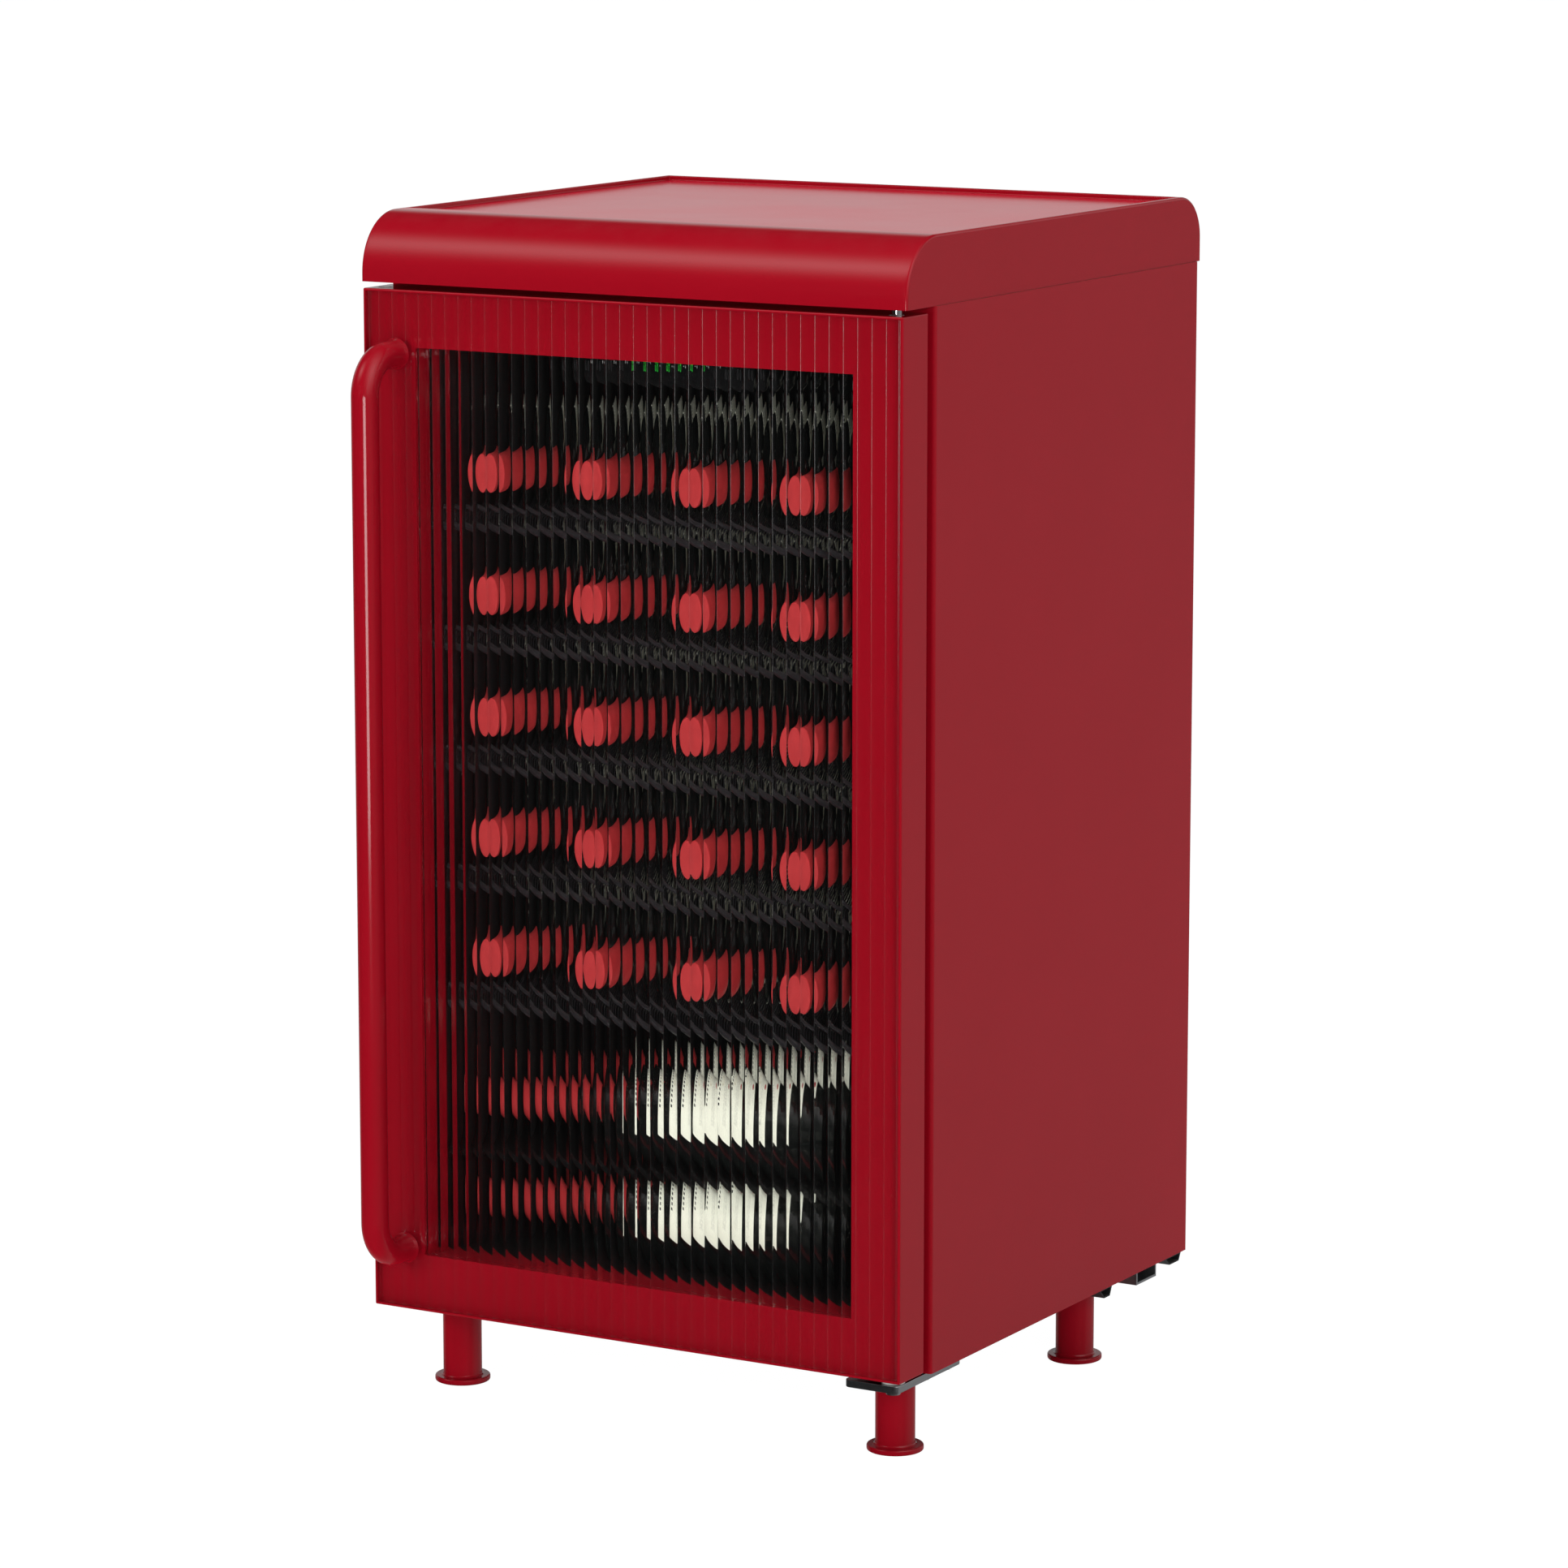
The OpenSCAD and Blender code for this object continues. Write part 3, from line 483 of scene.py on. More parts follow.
class Effects:
    """Shader groups that several finishes share, each built once."""

    def __init__(self) -> None:
        """Builds every group."""
        self.surface = self._surface()
        self.brushed = self._brushed()
        self.dust = self._dust()

    @staticmethod
    def _surface() -> Tree:
        """Returns the group for fine texture: a height and two masks from noise at two scales."""
        n, given, result = new_group(
            "fine_texture", {"Coarse": ("Float", 60.0), "Fine": ("Float", 900.0), "Balance": ("Float", 0.5)},
            ("Height", "Mottle", "Speckle"))
        place = n.add("TexCoord").outputs["Object"]
        coarse, fine = (n.noise(place, given[scale], 2.0) for scale in ("Coarse", "Fine"))
        mixed = n.add("Mix", {0: given["Balance"], 2: coarse, 3: fine}, data_type="FLOAT").outputs[0]
        n.feed(result, {"Height": mixed, "Mottle": n.remap(coarse, 0.3, 0.7),
                        "Speckle": n.remap(fine, 0.55, 0.75)})
        return n.tree

    @staticmethod
    def _brushed() -> Tree:
        """Returns the group for brushing lines that run along a stretched axis."""
        n, given, result = new_group(
            "brushing", {"Stretch": ("Vector", (600.0, 8.0, 600.0))}, ("Height", "Mask"))
        place = n.add("TexCoord").outputs["Object"]
        long = n.add("VectorMath", {0: place, 1: given["Stretch"]}, operation="MULTIPLY").outputs[0]
        lines = n.noise(long, 1.0, 4.0, 0.65)
        n.feed(result, {"Height": lines, "Mask": n.remap(lines, 0.35, 0.65)})
        return n.tree

    @staticmethod
    def _dust() -> Tree:
        """Returns the group for thin dust that settles on faces that look up."""
        n, given, result = new_group(
            "settled_dust", {"Amount": ("Float", 0.2), "Scale": ("Float", 40.0)}, ("Mask",))
        up = n.add("SeparateXYZ", {0: n.add("NewGeometry").outputs["Normal"]}).outputs["Z"]
        patches = n.noise(n.add("TexCoord").outputs["Object"], given["Scale"], 6.0, 0.7)
        flat = n.times(n.remap(up, 0.5, 1.0, smooth=True), n.remap(patches, 0.35, 0.75))
        n.feed(result, {"Mask": n.times(flat, given["Amount"])})
        return n.tree


EFFECTS = Effects()


def new_material(name: str) -> tuple[Material, Nodes, bpy.types.Node]:
    """Makes a material with one Principled shader.

    Args:
        name: Name of the material.

    Returns:
        The material, its node builder and the shader.
    """
    material = bpy.data.materials.new(name)
    material.use_nodes = True
    return material, Nodes(material.node_tree), material.node_tree.nodes["Principled BSDF"]


@dataclass(frozen=True)
class Finish:
    """A solid finish: a colour that varies a little, a sheen, a fine texture and settled dust."""

    name: str
    colour: Colour
    shade: Colour
    roughness: float
    specular: float = 0.5
    coarse: float = 60.0
    fine: float = 900.0
    balance: float = 0.4
    bump: float = 0.05
    depth: float = 0.0002
    rough_spread: float = 0.06
    dust: float = 0.1
    dust_scale: float = 35.0
    dust_colour: Colour = (0.55, 0.52, 0.48)
    dust_roughness: float = 0.5

    def build(self) -> Material:
        """Returns the material."""
        material, n, shader = new_material(self.name)
        texture = n.surface(self.coarse, self.fine, self.balance)
        mottle, half = texture["Mottle"], self.rough_spread / 2
        colour = n.blend(mottle, self.shade, self.colour)
        dust = n.group(EFFECTS.dust, Amount=self.dust, Scale=self.dust_scale).outputs["Mask"]
        rough = n.remap(mottle, 0.0, 1.0, self.roughness - half, self.roughness + half)
        n.feed(shader, {"Base Color": n.blend(dust, colour, self.dust_colour),
                        "Roughness": n.math("ADD", rough, n.times(dust, self.dust_roughness)),
                        "Normal": n.bump(texture["Height"], self.bump, self.depth),
                        "Specular IOR Level": self.specular})
        return material


@dataclass(frozen=True)
class BrushedMetal:
    """Bare metal with brushing lines along one axis."""

    name: str
    colour: Colour
    roughness: float
    stretch: tuple[float, float, float] = (600.0, 8.0, 600.0)
    bump: float = 0.15
    depth: float = 0.0001

    def build(self) -> Material:
        """Returns the material."""
        material, n, shader = new_material(self.name)
        lines = n.group(EFFECTS.brushed, Stretch=self.stretch).outputs
        mottle = n.surface(25.0, 400.0, 0.3)["Mottle"]
        dark = tuple(0.8 * c for c in self.colour)
        colour = n.blend(lines["Mask"], dark, self.colour)
        n.feed(shader, {
            "Base Color": n.blend(n.times(mottle, 0.3), colour, dark),
            "Roughness": n.remap(lines["Mask"], 0.0, 1.0, self.roughness + 0.08, self.roughness - 0.05),
            "Normal": n.bump(lines["Height"], self.bump, self.depth),
            "Metallic": 1.0})
        return material


@dataclass(frozen=True)
class ClearGlass:
    """Clear glass that lets light through to what lies behind it; on ridge faces it can carry a painted
    highlight, a whitish diffuse mix strongest towards the upper right.
    """

    name: str
    tint: Colour
    smears: float = 0.02
    # Strength of the painted highlight on the ridges.
    painted_ridge_highlight: float = 0.0
    index: float = 1.5
    glare_across: tuple[float, float] = (-0.16, 0.20)
    glare_up: tuple[float, float] = (0.58, 0.84)
    glare_least: float = 0.12

    def build(self) -> Material:
        """Returns the material."""
        material, n, shader = new_material(self.name)
        texture = n.surface(14.0, 120.0, 0.5)
        n.feed(shader, {"Roughness": n.remap(texture["Mottle"], 0.5, 1.0, 0.0, self.smears),
                        "Base Color": n.blend(texture["Mottle"], self.tint, WHITE[:3]),
                        "Transmission Weight": 1.0, "IOR": self.index})
        path = n.add("LightPath").outputs
        passing = n.math("MAXIMUM", path["Is Shadow Ray"], path["Is Diffuse Ray"])
        mixed = n.mix(passing, shader, n.add("BsdfTransparent", {"Color": (*self.tint, 1.0)}))
        # Painted highlight: a mix towards white diffuse, strongest at the upper right of the pane and broken
        # up by speckle.
        if self.painted_ridge_highlight:
            where = n.add("SeparateXYZ", {0: n.add("TexCoord").outputs["Object"]}).outputs
            across = n.remap(where["X"], *self.glare_across, self.glare_least, 1.0, True)
            up = n.remap(where["Z"], *self.glare_up, self.glare_least, 1.0, True)
            grain = n.remap(texture["Speckle"], 0.0, 1.0, 0.7, 1.0)
            painted_highlight_white = n.add("BsdfDiffuse", {"Color": (0.95, 0.95, 0.95, 1.0)})
            mixed = n.mix(n.times(across, up, grain, self.painted_ridge_highlight), mixed, painted_highlight_white)
        n.feed(n.tree.nodes["Material Output"], {"Surface": mixed.outputs[0]})
        return material


@dataclass(frozen=True)
class BottleGlass:
    """Dark, nearly black bottle glass with wine behind it, and a painted sheen: a lighter colour where the
    surface turns away from the view.
    """

    name: str = "bottle_glass"
    colour: Colour = (0.004, 0.0045, 0.0045)
    # Colour of the painted sheen at the grazing edges.
    rim: Colour = (0.012, 0.015, 0.013)

    def build(self) -> Material:
        """Returns the material."""
        material, n, shader = new_material(self.name)
        texture = n.surface(30.0, 200.0, 0.2)
        # Painted sheen: the colour lightens towards the rim colour where the surface turns away from the
        # view.
        edge = n.add("LayerWeight", {"Blend": 0.35}).outputs["Facing"]
        rim = n.blend(edge, self.colour, self.rim)
        n.feed(shader, {"Base Color": n.blend(texture["Mottle"], self.colour, rim),
                        "Roughness": n.remap(texture["Mottle"], 0.0, 1.0, 0.03, 0.07),
                        "Normal": n.bump(texture["Height"], 0.1, 0.0004), "Coat Weight": 0.6})
        return material


@dataclass(frozen=True)
class LabelPaper:
    """Cream label paper with a generic print: broken bars, faint fine rules, a ring and a red seal.

    Places on the paper run from 0 to 1, across and up.
    """

    name: str = "label_paper"
    paper: Colour = (0.97, 0.96, 0.81)
    ink: Colour = (0.012, 0.012, 0.014)
    fine_ink: Colour = (0.22, 0.21, 0.18)
    gold: Colour = (0.55, 0.45, 0.22)
    wax: Colour = (0.42, 0.01, 0.02)
    strokes: float = 23.0
    title_across: tuple[float, float] = (0.22, 0.78)
    title_foot: float = 0.83
    title_tops: tuple[float, float] = (0.90, 0.94)
    rules: float = 34.0
    rules_across: tuple[float, float] = (0.12, 0.88)
    rules_up: tuple[float, float] = (0.28, 0.52)
    ring: tuple[float, float, float, float] = (0.5, 0.66, 0.07, 0.012)
    seal: tuple[float, float, float, float] = (0.5, 0.16, 0.0, 0.05)
    aspect: float = 1.19

    def build(self) -> Material:
        """Returns the material."""
        material, n, shader = new_material(self.name)
        place = n.add("SeparateXYZ", {0: n.add("UVMap", uv_map="label").outputs[0]}).outputs
        u, v = place["X"], place["Y"]
        fibres = n.surface(240.0, 1800.0, 0.6)
        colour = n.blend(fibres["Mottle"], tuple(0.94 * c for c in self.paper), self.paper)
        colour = n.blend(self._title(n, u, v), colour, self.ink)
        colour = n.blend(n.times(self._rules(n, u, v), 0.5), colour, self.fine_ink)
        colour = n.blend(n.times(self._ring(n, u, v, *self.ring), 0.5), colour, self.gold)
        colour = n.blend(self._ring(n, u, v, *self.seal), colour, self.wax)
        n.feed(shader, {"Base Color": colour, "Normal": n.bump(fibres["Height"], 0.2, 0.00005),
                        "Roughness": 0.75})
        return material

    def _title(self, n: Nodes, u: Socket, v: Socket) -> Socket:
        """Returns a mask of heavy upright strokes in one band, with gaps."""
        along = n.times(u, self.strokes)
        place = n.add("CombineXYZ", {0: n.math("FLOOR", along), 1: 3.0}).outputs[0]
        chance = n.add("TexWhiteNoise", {0: place}, noise_dimensions="3D").outputs["Value"]
        inside = n.within(v, self.title_foot, n.remap(chance, 0.0, 1.0, *self.title_tops))
        stroke = n.times(n.math("LESS_THAN", n.math("FRACT", along), 0.55), inside)
        return n.times(stroke, n.within(u, *self.title_across), n.math("GREATER_THAN", chance, 0.12))

    def _rules(self, n: Nodes, u: Socket, v: Socket) -> Socket:
        """Returns a mask of fine broken rules."""
        up = n.times(v, self.rules)
        place = n.add("CombineXYZ", {0: n.times(u, 60.0), 1: n.math("FLOOR", up)}).outputs[0]
        dots = n.math("GREATER_THAN", n.noise(place, 1.0, 0.0), 0.47)
        marks = n.times(n.math("LESS_THAN", n.math("FRACT", up), 0.45), dots)
        return n.times(marks, n.within(v, *self.rules_up), n.within(u, *self.rules_across))

    def _ring(self, n: Nodes, u: Socket, v: Socket, u0: float, v0: float, radius: float,
              half: float) -> Socket:
        """Returns a mask of a ring round a place, or of a disc where the radius is 0.

        Args:
            n: The builder of the label's tree.
            u: The place across the label.
            v: The place up the label.
            u0: The ring's centre across.
            v0: The ring's centre up.
            radius: Its radius, as a part of the label's height.
            half: Half the width of its line, or the disc's radius.

        Returns:
            The mask.
        """
        du = n.times(n.math("SUBTRACT", u, u0), self.aspect)
        dv = n.math("SUBTRACT", v, v0)
        away = n.math("SQRT", n.math("ADD", n.times(du, du), n.times(dv, dv)))
        return n.math("LESS_THAN", n.math("ABSOLUTE", n.math("SUBTRACT", away, radius)), half)


@dataclass(frozen=True)
class Glow:
    """A lit figure or lamp, with a slight unevenness."""

    name: str
    colour: Colour
    strength: float

    def build(self) -> Material:
        """Returns the material."""
        material, n, shader = new_material(self.name)
        mottle = n.surface(300.0, 900.0, 0.5)["Mottle"]
        colour = n.blend(mottle, tuple(0.8 * c for c in self.colour), self.colour)
        n.feed(shader, {"Base Color": colour, "Emission Color": colour, "Emission Strength": self.strength,
                        "Roughness": 0.4})
        return material


RED = (0.34, 0.0028, 0.0115)
RED_DEEP = (0.33, 0.0026, 0.0108)


class Finishes:
    """Every finish of the cooler, built once."""

    def __init__(self) -> None:
        """Builds them all."""
        self.enamel = Finish("red_enamel", RED, RED_DEEP, 0.12, specular=0.5, coarse=9.0, fine=420.0,
                             balance=0.75, bump=0.02, depth=0.0001, dust=0.015, rough_spread=0.02).build()
        # The tray floor is the same red paint as the rest of the shell: this lighter red is a painted
        # highlight for the bright reflection it catches from above.
        self.tray = Finish("tray_enamel_painted_highlight", (0.66, 0.006, 0.034), (0.62, 0.005, 0.030), 0.16, specular=0.42,
                           coarse=9.0, fine=420.0, balance=0.75, bump=0.02, depth=0.0001, dust=0.02,
                           rough_spread=0.03).build()
        self.foil = Finish("capsule_foil", (0.66, 0.045, 0.05), (0.58, 0.037, 0.042), 0.42, coarse=90.0,
                           fine=700.0, bump=0.25, depth=0.0005, specular=0.3, dust=0.03).build()
        self.wire = Finish("shelf_wire", (0.026, 0.024, 0.027), (0.021, 0.019, 0.022), 0.38, coarse=60.0,
                           fine=1200.0, bump=0.12, specular=0.5).build()
        self.liner = Finish("black_liner", (0.0095, 0.0095, 0.010), (0.007, 0.007, 0.0075), 0.5, coarse=20.0,
                            fine=1500.0, balance=0.8, bump=0.2, dust=0.02).build()
        self.gloss_black = Finish("gloss_black", (0.006, 0.006, 0.0065), (0.005, 0.005, 0.005), 0.14,
                                  coarse=12.0, bump=0.03, dust=0.02).build()
        self.black_paint = Finish("black_paint", (0.016, 0.016, 0.017), (0.011, 0.011, 0.012), 0.42,
                                  coarse=30.0, fine=800.0, bump=0.15, dust=0.25).build()
        self.grey_paint = Finish("grey_paint", (0.33, 0.34, 0.35), (0.28, 0.29, 0.30), 0.45, coarse=18.0,
                                 fine=700.0, bump=0.1, dust=0.1).build()
        self.plastic = Finish("motor_plastic", (0.035, 0.035, 0.038), (0.026, 0.026, 0.028), 0.5, coarse=40.0,
                              fine=1400.0, balance=0.8, bump=0.2, dust=0.15).build()
        self.button = Finish("button_plastic", (0.03, 0.03, 0.032), (0.024, 0.024, 0.026), 0.35, coarse=80.0,
                             fine=2000.0, bump=0.1).build()
        self.fan = Finish("fan_plastic", (0.62, 0.63, 0.63), (0.56, 0.57, 0.57), 0.4, coarse=40.0,
                          fine=1200.0, bump=0.08, dust=0.15).build()
        self.bush = Finish("bush_plastic", (0.70, 0.70, 0.67), (0.62, 0.62, 0.58), 0.45, bump=0.08).build()
        self.rubber = Finish("rubber", (0.014, 0.014, 0.015), (0.010, 0.010, 0.011), 0.75, coarse=90.0,
                             fine=1600.0, bump=0.3, dust=0.2).build()
        self.foam = Finish("foam", (0.72, 0.58, 0.30), (0.62, 0.47, 0.22), 0.85, coarse=120.0, fine=700.0,
                           bump=0.6, depth=0.001).build()
        self.chrome = BrushedMetal("hinge_chrome", (0.72, 0.73, 0.75), 0.16, (500.0, 20.0, 500.0),
                                   0.05).build()
        self.zinc = BrushedMetal("zinc_steel", (0.58, 0.59, 0.61), 0.34, (120.0, 40.0, 120.0), 0.1).build()
        self.screw = BrushedMetal("screw_steel", (0.52, 0.53, 0.55), 0.3, (900.0, 900.0, 900.0), 0.1).build()
        self.aluminium = BrushedMetal("evaporator_aluminium", (0.74, 0.76, 0.79), 0.32).build()
        self.copper = BrushedMetal("copper_tube", (0.72, 0.36, 0.20), 0.3, (300.0, 300.0, 20.0)).build()
        self.glass = ClearGlass("door_glass", (0.985, 0.99, 0.985), 0.015).build()
        # Glass for the flute ridges, with a painted highlight on them.
        self.ridge = ClearGlass("ridge_glass_painted_highlight", (0.985, 0.99, 0.985), 0.015, 0.24).build()
        self.pane = ClearGlass("inner_pane_glass", (0.98, 0.985, 0.98), 0.0).build()
        self.bottle = BottleGlass().build()
        self.label = LabelPaper().build()
        self.lit_green = Glow("display_green", (0.010, 0.45, 0.03), 0.9).build()
        self.icon_white = Glow("icon_white", (0.45, 0.45, 0.45), 0.7).build()
        self.lamp = Finish("lamp_diffuser", (0.80, 0.80, 0.78), (0.74, 0.74, 0.72), 0.5, bump=0.1).build()


# ------------------------------------------------------------------------------------- cabinet


@dataclass
class Cabinet:
    """The fixed shell: folded side skins, top cover, base, back and legs."""

    finishes: Finishes
    skin: float = 1.0 * MM
    fold_r: float = 3.0 * MM
    seam: float = 0.08 * MM
    lid_front_r: float = 47.0 * MM
    lid_back_r: float = 34.0 * MM
    lid_edge: float = 2.2 * MM
    tray_depth: float = 4.0 * MM
    tray_rim: float = 5.0 * MM
    tray_front: float = 13.5 * MM
    tray_back: float = 1.0 * MM
    leg_r: float = 15.6 * MM
    foot_r: float = 22.3 * MM
    foot_t: float = 4.6 * MM
    stud_r: float = 4.0 * MM
    hinge_r: float = 5.0 * MM
    level: float = 0.9999

    def build(self) -> None:
        """Makes every piece of the shell."""
        for side, node in ((-1, "side_panel_left"), (1, "side_panel_right")):
            self._side(side, node)
        self._top_cover()
        for node in ("leg_front_left", "leg_front_right", "leg_rear_left", "leg_rear_right"):
            self._leg(node)
        self._hinges()
        dress(self.finishes.enamel, "front_rails")
        dress(self.finishes.grey_paint, "back_panel")
        dress(self.finishes.zinc, "base_pan")
        dress(self.finishes.foam, "insulation")
        dress(self.finishes.liner, "inner_liner")
        dress(self.finishes.screw, "hinge_screws", "panel_screws")

    def _side(self, side: int, node: str) -> None:
        """Makes one side skin with a rounded fold and a return at the front."""
        low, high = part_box(node)
        outer = high.x if side > 0 else low.x
        inner = low.x if side > 0 else high.x
        corner = (outer - side * self.fold_r, low.y + self.fold_r)
        turns = (270, 360) if side > 0 else (270, 180)
        path = [(inner, low.y), *arc(corner, self.fold_r, *turns, 8), (outer, high.y)]
        back = [(outer - side * self.skin, high.y),
                *reversed(arc(corner, self.fold_r - self.skin, *turns, 8)), (inner, low.y + self.skin)]
        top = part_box("top_cover")[0].z - self.seam
        solid = Solid().prism([(x, y, low.z) for x, y in path + back], (0, 0, top - low.z))
        solid.publish(node + "_skin", self.finishes.enamel, "red_enamel", [node], 25.0)

    def _top_cover(self) -> None:
        """Makes the top cover: a rolled section drawn across, softened ends and a sunk tray."""
        low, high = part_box("top_cover")
        front = arc((low.y + self.lid_front_r, high.z - self.lid_front_r), self.lid_front_r, 180, 90, 28)
        back = arc((high.y - self.lid_back_r, high.z - self.lid_back_r), self.lid_back_r, 90, 0, 24)
        section = [(low.y, low.z), *front, *back, (high.y, low.z)]
        solid = Solid().prism([(low.x, y, z) for y, z in section], (high.x - low.x, 0, 0))
        tray_low = Vector((low.x + self.tray_rim, low.y + self.lid_front_r + self.tray_front, 0))
        tray_high = Vector((high.x - self.tray_rim, high.y - self.lid_back_r - self.tray_back, 0))
        near = 0.001 * MM
        solid.soften(self.lid_edge, 4, 60, lambda e: abs(e.verts[0].co.x - e.verts[1].co.x) < near
                     and max(v.co.z for v in e.verts) > low.z + near)
        for across in (Vector((1, 0, 0)), Vector((0, 1, 0))):
            for point in (tray_low, tray_high):
                everything = [*solid.bm.verts, *solid.bm.edges, *solid.bm.faces]
                bmesh.ops.bisect_plane(solid.bm, geom=everything, dist=SAME, plane_co=point, plane_no=across)
        middle, half = (tray_low + tray_high) / 2, (tray_high - tray_low) / 2
        floor = [face for face in solid.bm.faces if face.normal.z > 0.9
                 and abs((away := face.calc_center_median() - middle).x) < half.x
                 and abs(away.y) < half.y and away.z > high.z - 0.1 * MM]
        made = bmesh.ops.extrude_face_region(solid.bm, geom=floor)["geom"]
        bmesh.ops.delete(solid.bm, geom=floor, context="FACES")
        shift(solid.bm, made, (0, 0, -self.tray_depth))
        solid.soften(1.0 * MM, 3, 60, lambda e: all(
            tray_low.x - MM < v.co.x < tray_high.x + MM and tray_low.y - MM < v.co.y < tray_high.y + MM
            and v.co.z > high.z - 2 * self.tray_depth for v in e.verts))
        piece = solid.publish("top_cover_shell", self.finishes.enamel, "red_enamel", ["top_cover"], 30.0)
        # Every face that looks straight up (the tray floor and the flat rim round it) takes the lighter red,
        # a painted highlight.
        piece.data.materials.append(self.finishes.tray)
        for face in piece.data.polygons:
            face.material_index = int(face.normal.z > self.level)

    def _leg(self, node: str) -> None:
        """Makes one turned leg with a foot flange and a small fillet."""
        centre, stud_top = middle_of(node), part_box(node)[1].z
        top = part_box("base_pan")[0].z
        fillet = 2.2 * MM
        edge = 1.3 * MM
        outline = [(0, 0), *arc((self.foot_r - edge, edge), edge, 270, 360, 5),
                   *arc((self.foot_r - edge, self.foot_t - edge), edge, 0, 90, 5),
                   *arc((self.leg_r + fillet, self.foot_t + fillet), fillet, 270, 180, 6),
                   (self.leg_r, top), (0, top)]
        stud = [(0, top), (self.stud_r, top), (self.stud_r, stud_top - MM), (self.stud_r - MM, stud_top),
                (0, stud_top)]
        place = Axis.UP.at((centre.x, centre.y, 0))
        solid = Solid().lathe(outline, place, 64).lathe(stud, place, 24)
        solid.publish(node + "_turned", self.finishes.enamel, "red_enamel", [node], 40.0)

    def _hinges(self) -> None:
        """Makes the lower hinge plate and dresses the hinge parts."""
        low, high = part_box("lower_hinge_bracket")
        leg = middle_of("leg_front_right")
        plate_top = high.z - 0.8 * MM
        solid = Solid().block((low.x, low.y, low.z), (high.x, high.y, plate_top))
        solid.soften(self.hinge_r, 6, 60, lambda e: abs(e.verts[0].co.z - e.verts[1].co.z) > 4 * MM)
        solid.soften(0.7 * MM, 2, 60)
        solid.cut(Solid().rod((leg.x, leg.y, low.z - MM), (leg.x, leg.y, high.z + MM), self.leg_r + 0.4 * MM,
                              48))
        solid.publish("lower_hinge_plate", self.finishes.chrome, "hinge_chrome", ["lower_hinge_bracket"],
                      30.0)
        dress(self.finishes.chrome, "lower_hinge_pin", "upper_hinge_pin")
        dress(self.finishes.zinc, "upper_hinge_plate")


# ------------------------------------------------------------------------------------- door


@dataclass
class Door:
    """The glazed door with its tube handle."""

    finishes: Finishes
    border: float = 45.0 * MM
    lip: float = 2.0 * MM
    flute_count: int = 39
    flute_r: float = 9.5 * MM
    ridge_r: float = 0.18 * MM
    glass_edge_r: float = 3.0 * MM
    glass_edge_drop: float = 1.5 * MM
    tube_r: float = 10.9 * MM
    bend_r: float = 30.0 * MM
    arm_from_end: float = 12.4 * MM
    collar: float = 6.0 * MM
    hole_r: float = 5.9 * MM
    hole_depth: float = 16.0 * MM

    def build(self) -> None:
        """Makes every piece of the door."""
        self._frame()
        self._fluted_glass()
        self._handle()
        dress(self.finishes.pane, "inner_pane")
        dress(self.finishes.rubber, "door_gasket")
        dress(self.finishes.screw, "handle_screws")
        dress(self.finishes.bush, "door_bushes")

    def _frame(self) -> None:
        """Makes the frame: a softened slab with a glass pocket, a window through it and hinge holes."""
        low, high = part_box("door_frame")
        glass_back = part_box("fluted_glass")[1].y
        solid = Solid().block(low, high).soften(1.2 * MM, 3)
        pocket = Solid().block((low.x + self.lip, low.y - MM, low.z + self.lip),
                               (high.x - self.lip, glass_back + 0.2 * MM, high.z - self.lip))
        window = Solid().block((low.x + self.border, low.y - MM, low.z + self.border),
                               (high.x - self.border, high.y + MM, high.z - self.border))
        pin = middle_of("upper_hinge_pin")
        holes = [Solid().rod((x, pin.y, high.z - self.hole_depth), (x, pin.y, high.z + MM), self.hole_r, 32)
                 for x in (-pin.x, pin.x)]
        solid.cut(pocket, window, *holes)
        solid.publish("door_frame_shell", self.finishes.enamel, "red_enamel",
                      ["door_frame", "glass_spacer"], 30.0, "door")

    def _fluted_glass(self) -> None:
        """Makes the outer pane: a row of hollow flutes between fine ridges, drawn up the door."""
        low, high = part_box("fluted_glass")
        pitch = (high.x - low.x) / self.flute_count
        half = math.asin(pitch / 2 / self.flute_r)
        depth = self.flute_r * (1 - math.cos(half))
        solid = Solid()
        bm = solid.bm
        ridge = bm.verts.new((low.x, low.y, low.z))
        centre = Vector((low.x + pitch / 2, low.y - self.flute_r + depth, low.z))
        bmesh.ops.spin(bm, geom=[ridge], cent=centre, axis=(0, 0, 1), dvec=(0, 0, 0), angle=-2 * half,
                       steps=14, use_merge=False)
        flute = [*bm.verts, *bm.edges]
        for i in range(1, self.flute_count):
            shift(bm, bmesh.ops.duplicate(bm, geom=flute)["geom"], (i * pitch, 0, 0))
        bmesh.ops.remove_doubles(bm, verts=bm.verts, dist=1e-6)
        edge_r, drop = self.glass_edge_r, low.y + self.glass_edge_drop
        for vert in bm.verts:
            inset = min(vert.co.x - low.x, high.x - vert.co.x)
            if inset < edge_r:
                rounded = drop + edge_r - math.sqrt(max(0.0, edge_r ** 2 - (edge_r - inset) ** 2))
                vert.co.y = max(vert.co.y, rounded)
        shift(bm, bmesh.ops.extrude_edge_only(bm, edges=list(bm.edges))["geom"], (0, 0, high.z - low.z))
        bm.normal_update()
        ridges = [e for e in bm.edges if len(e.link_faces) == 2
                  and abs(e.verts[0].co.z - e.verts[1].co.z) > 0.1 and e.calc_face_angle(0) > 0.3]
        bmesh.ops.bevel(bm, geom=ridges, offset=self.ridge_r, offset_type="OFFSET", segments=2, profile=0.5,
                        affect="EDGES", material=1)
        rim = [e for e in bm.edges if e.is_boundary]
        for back in bmesh.ops.extrude_edge_only(bm, edges=rim)["geom"]:
            if isinstance(back, Vert):
                back.co.y = high.y
        bmesh.ops.holes_fill(bm, edges=[e for e in bm.edges if e.is_boundary], sides=0)
        pane = solid.publish("fluted_pane", self.finishes.glass, "door_glass", ["fluted_glass"], 20.0, "door")
        # The bevelled ridge faces take this second material, which carries a painted highlight.
        pane.data.materials.append(self.finishes.ridge)

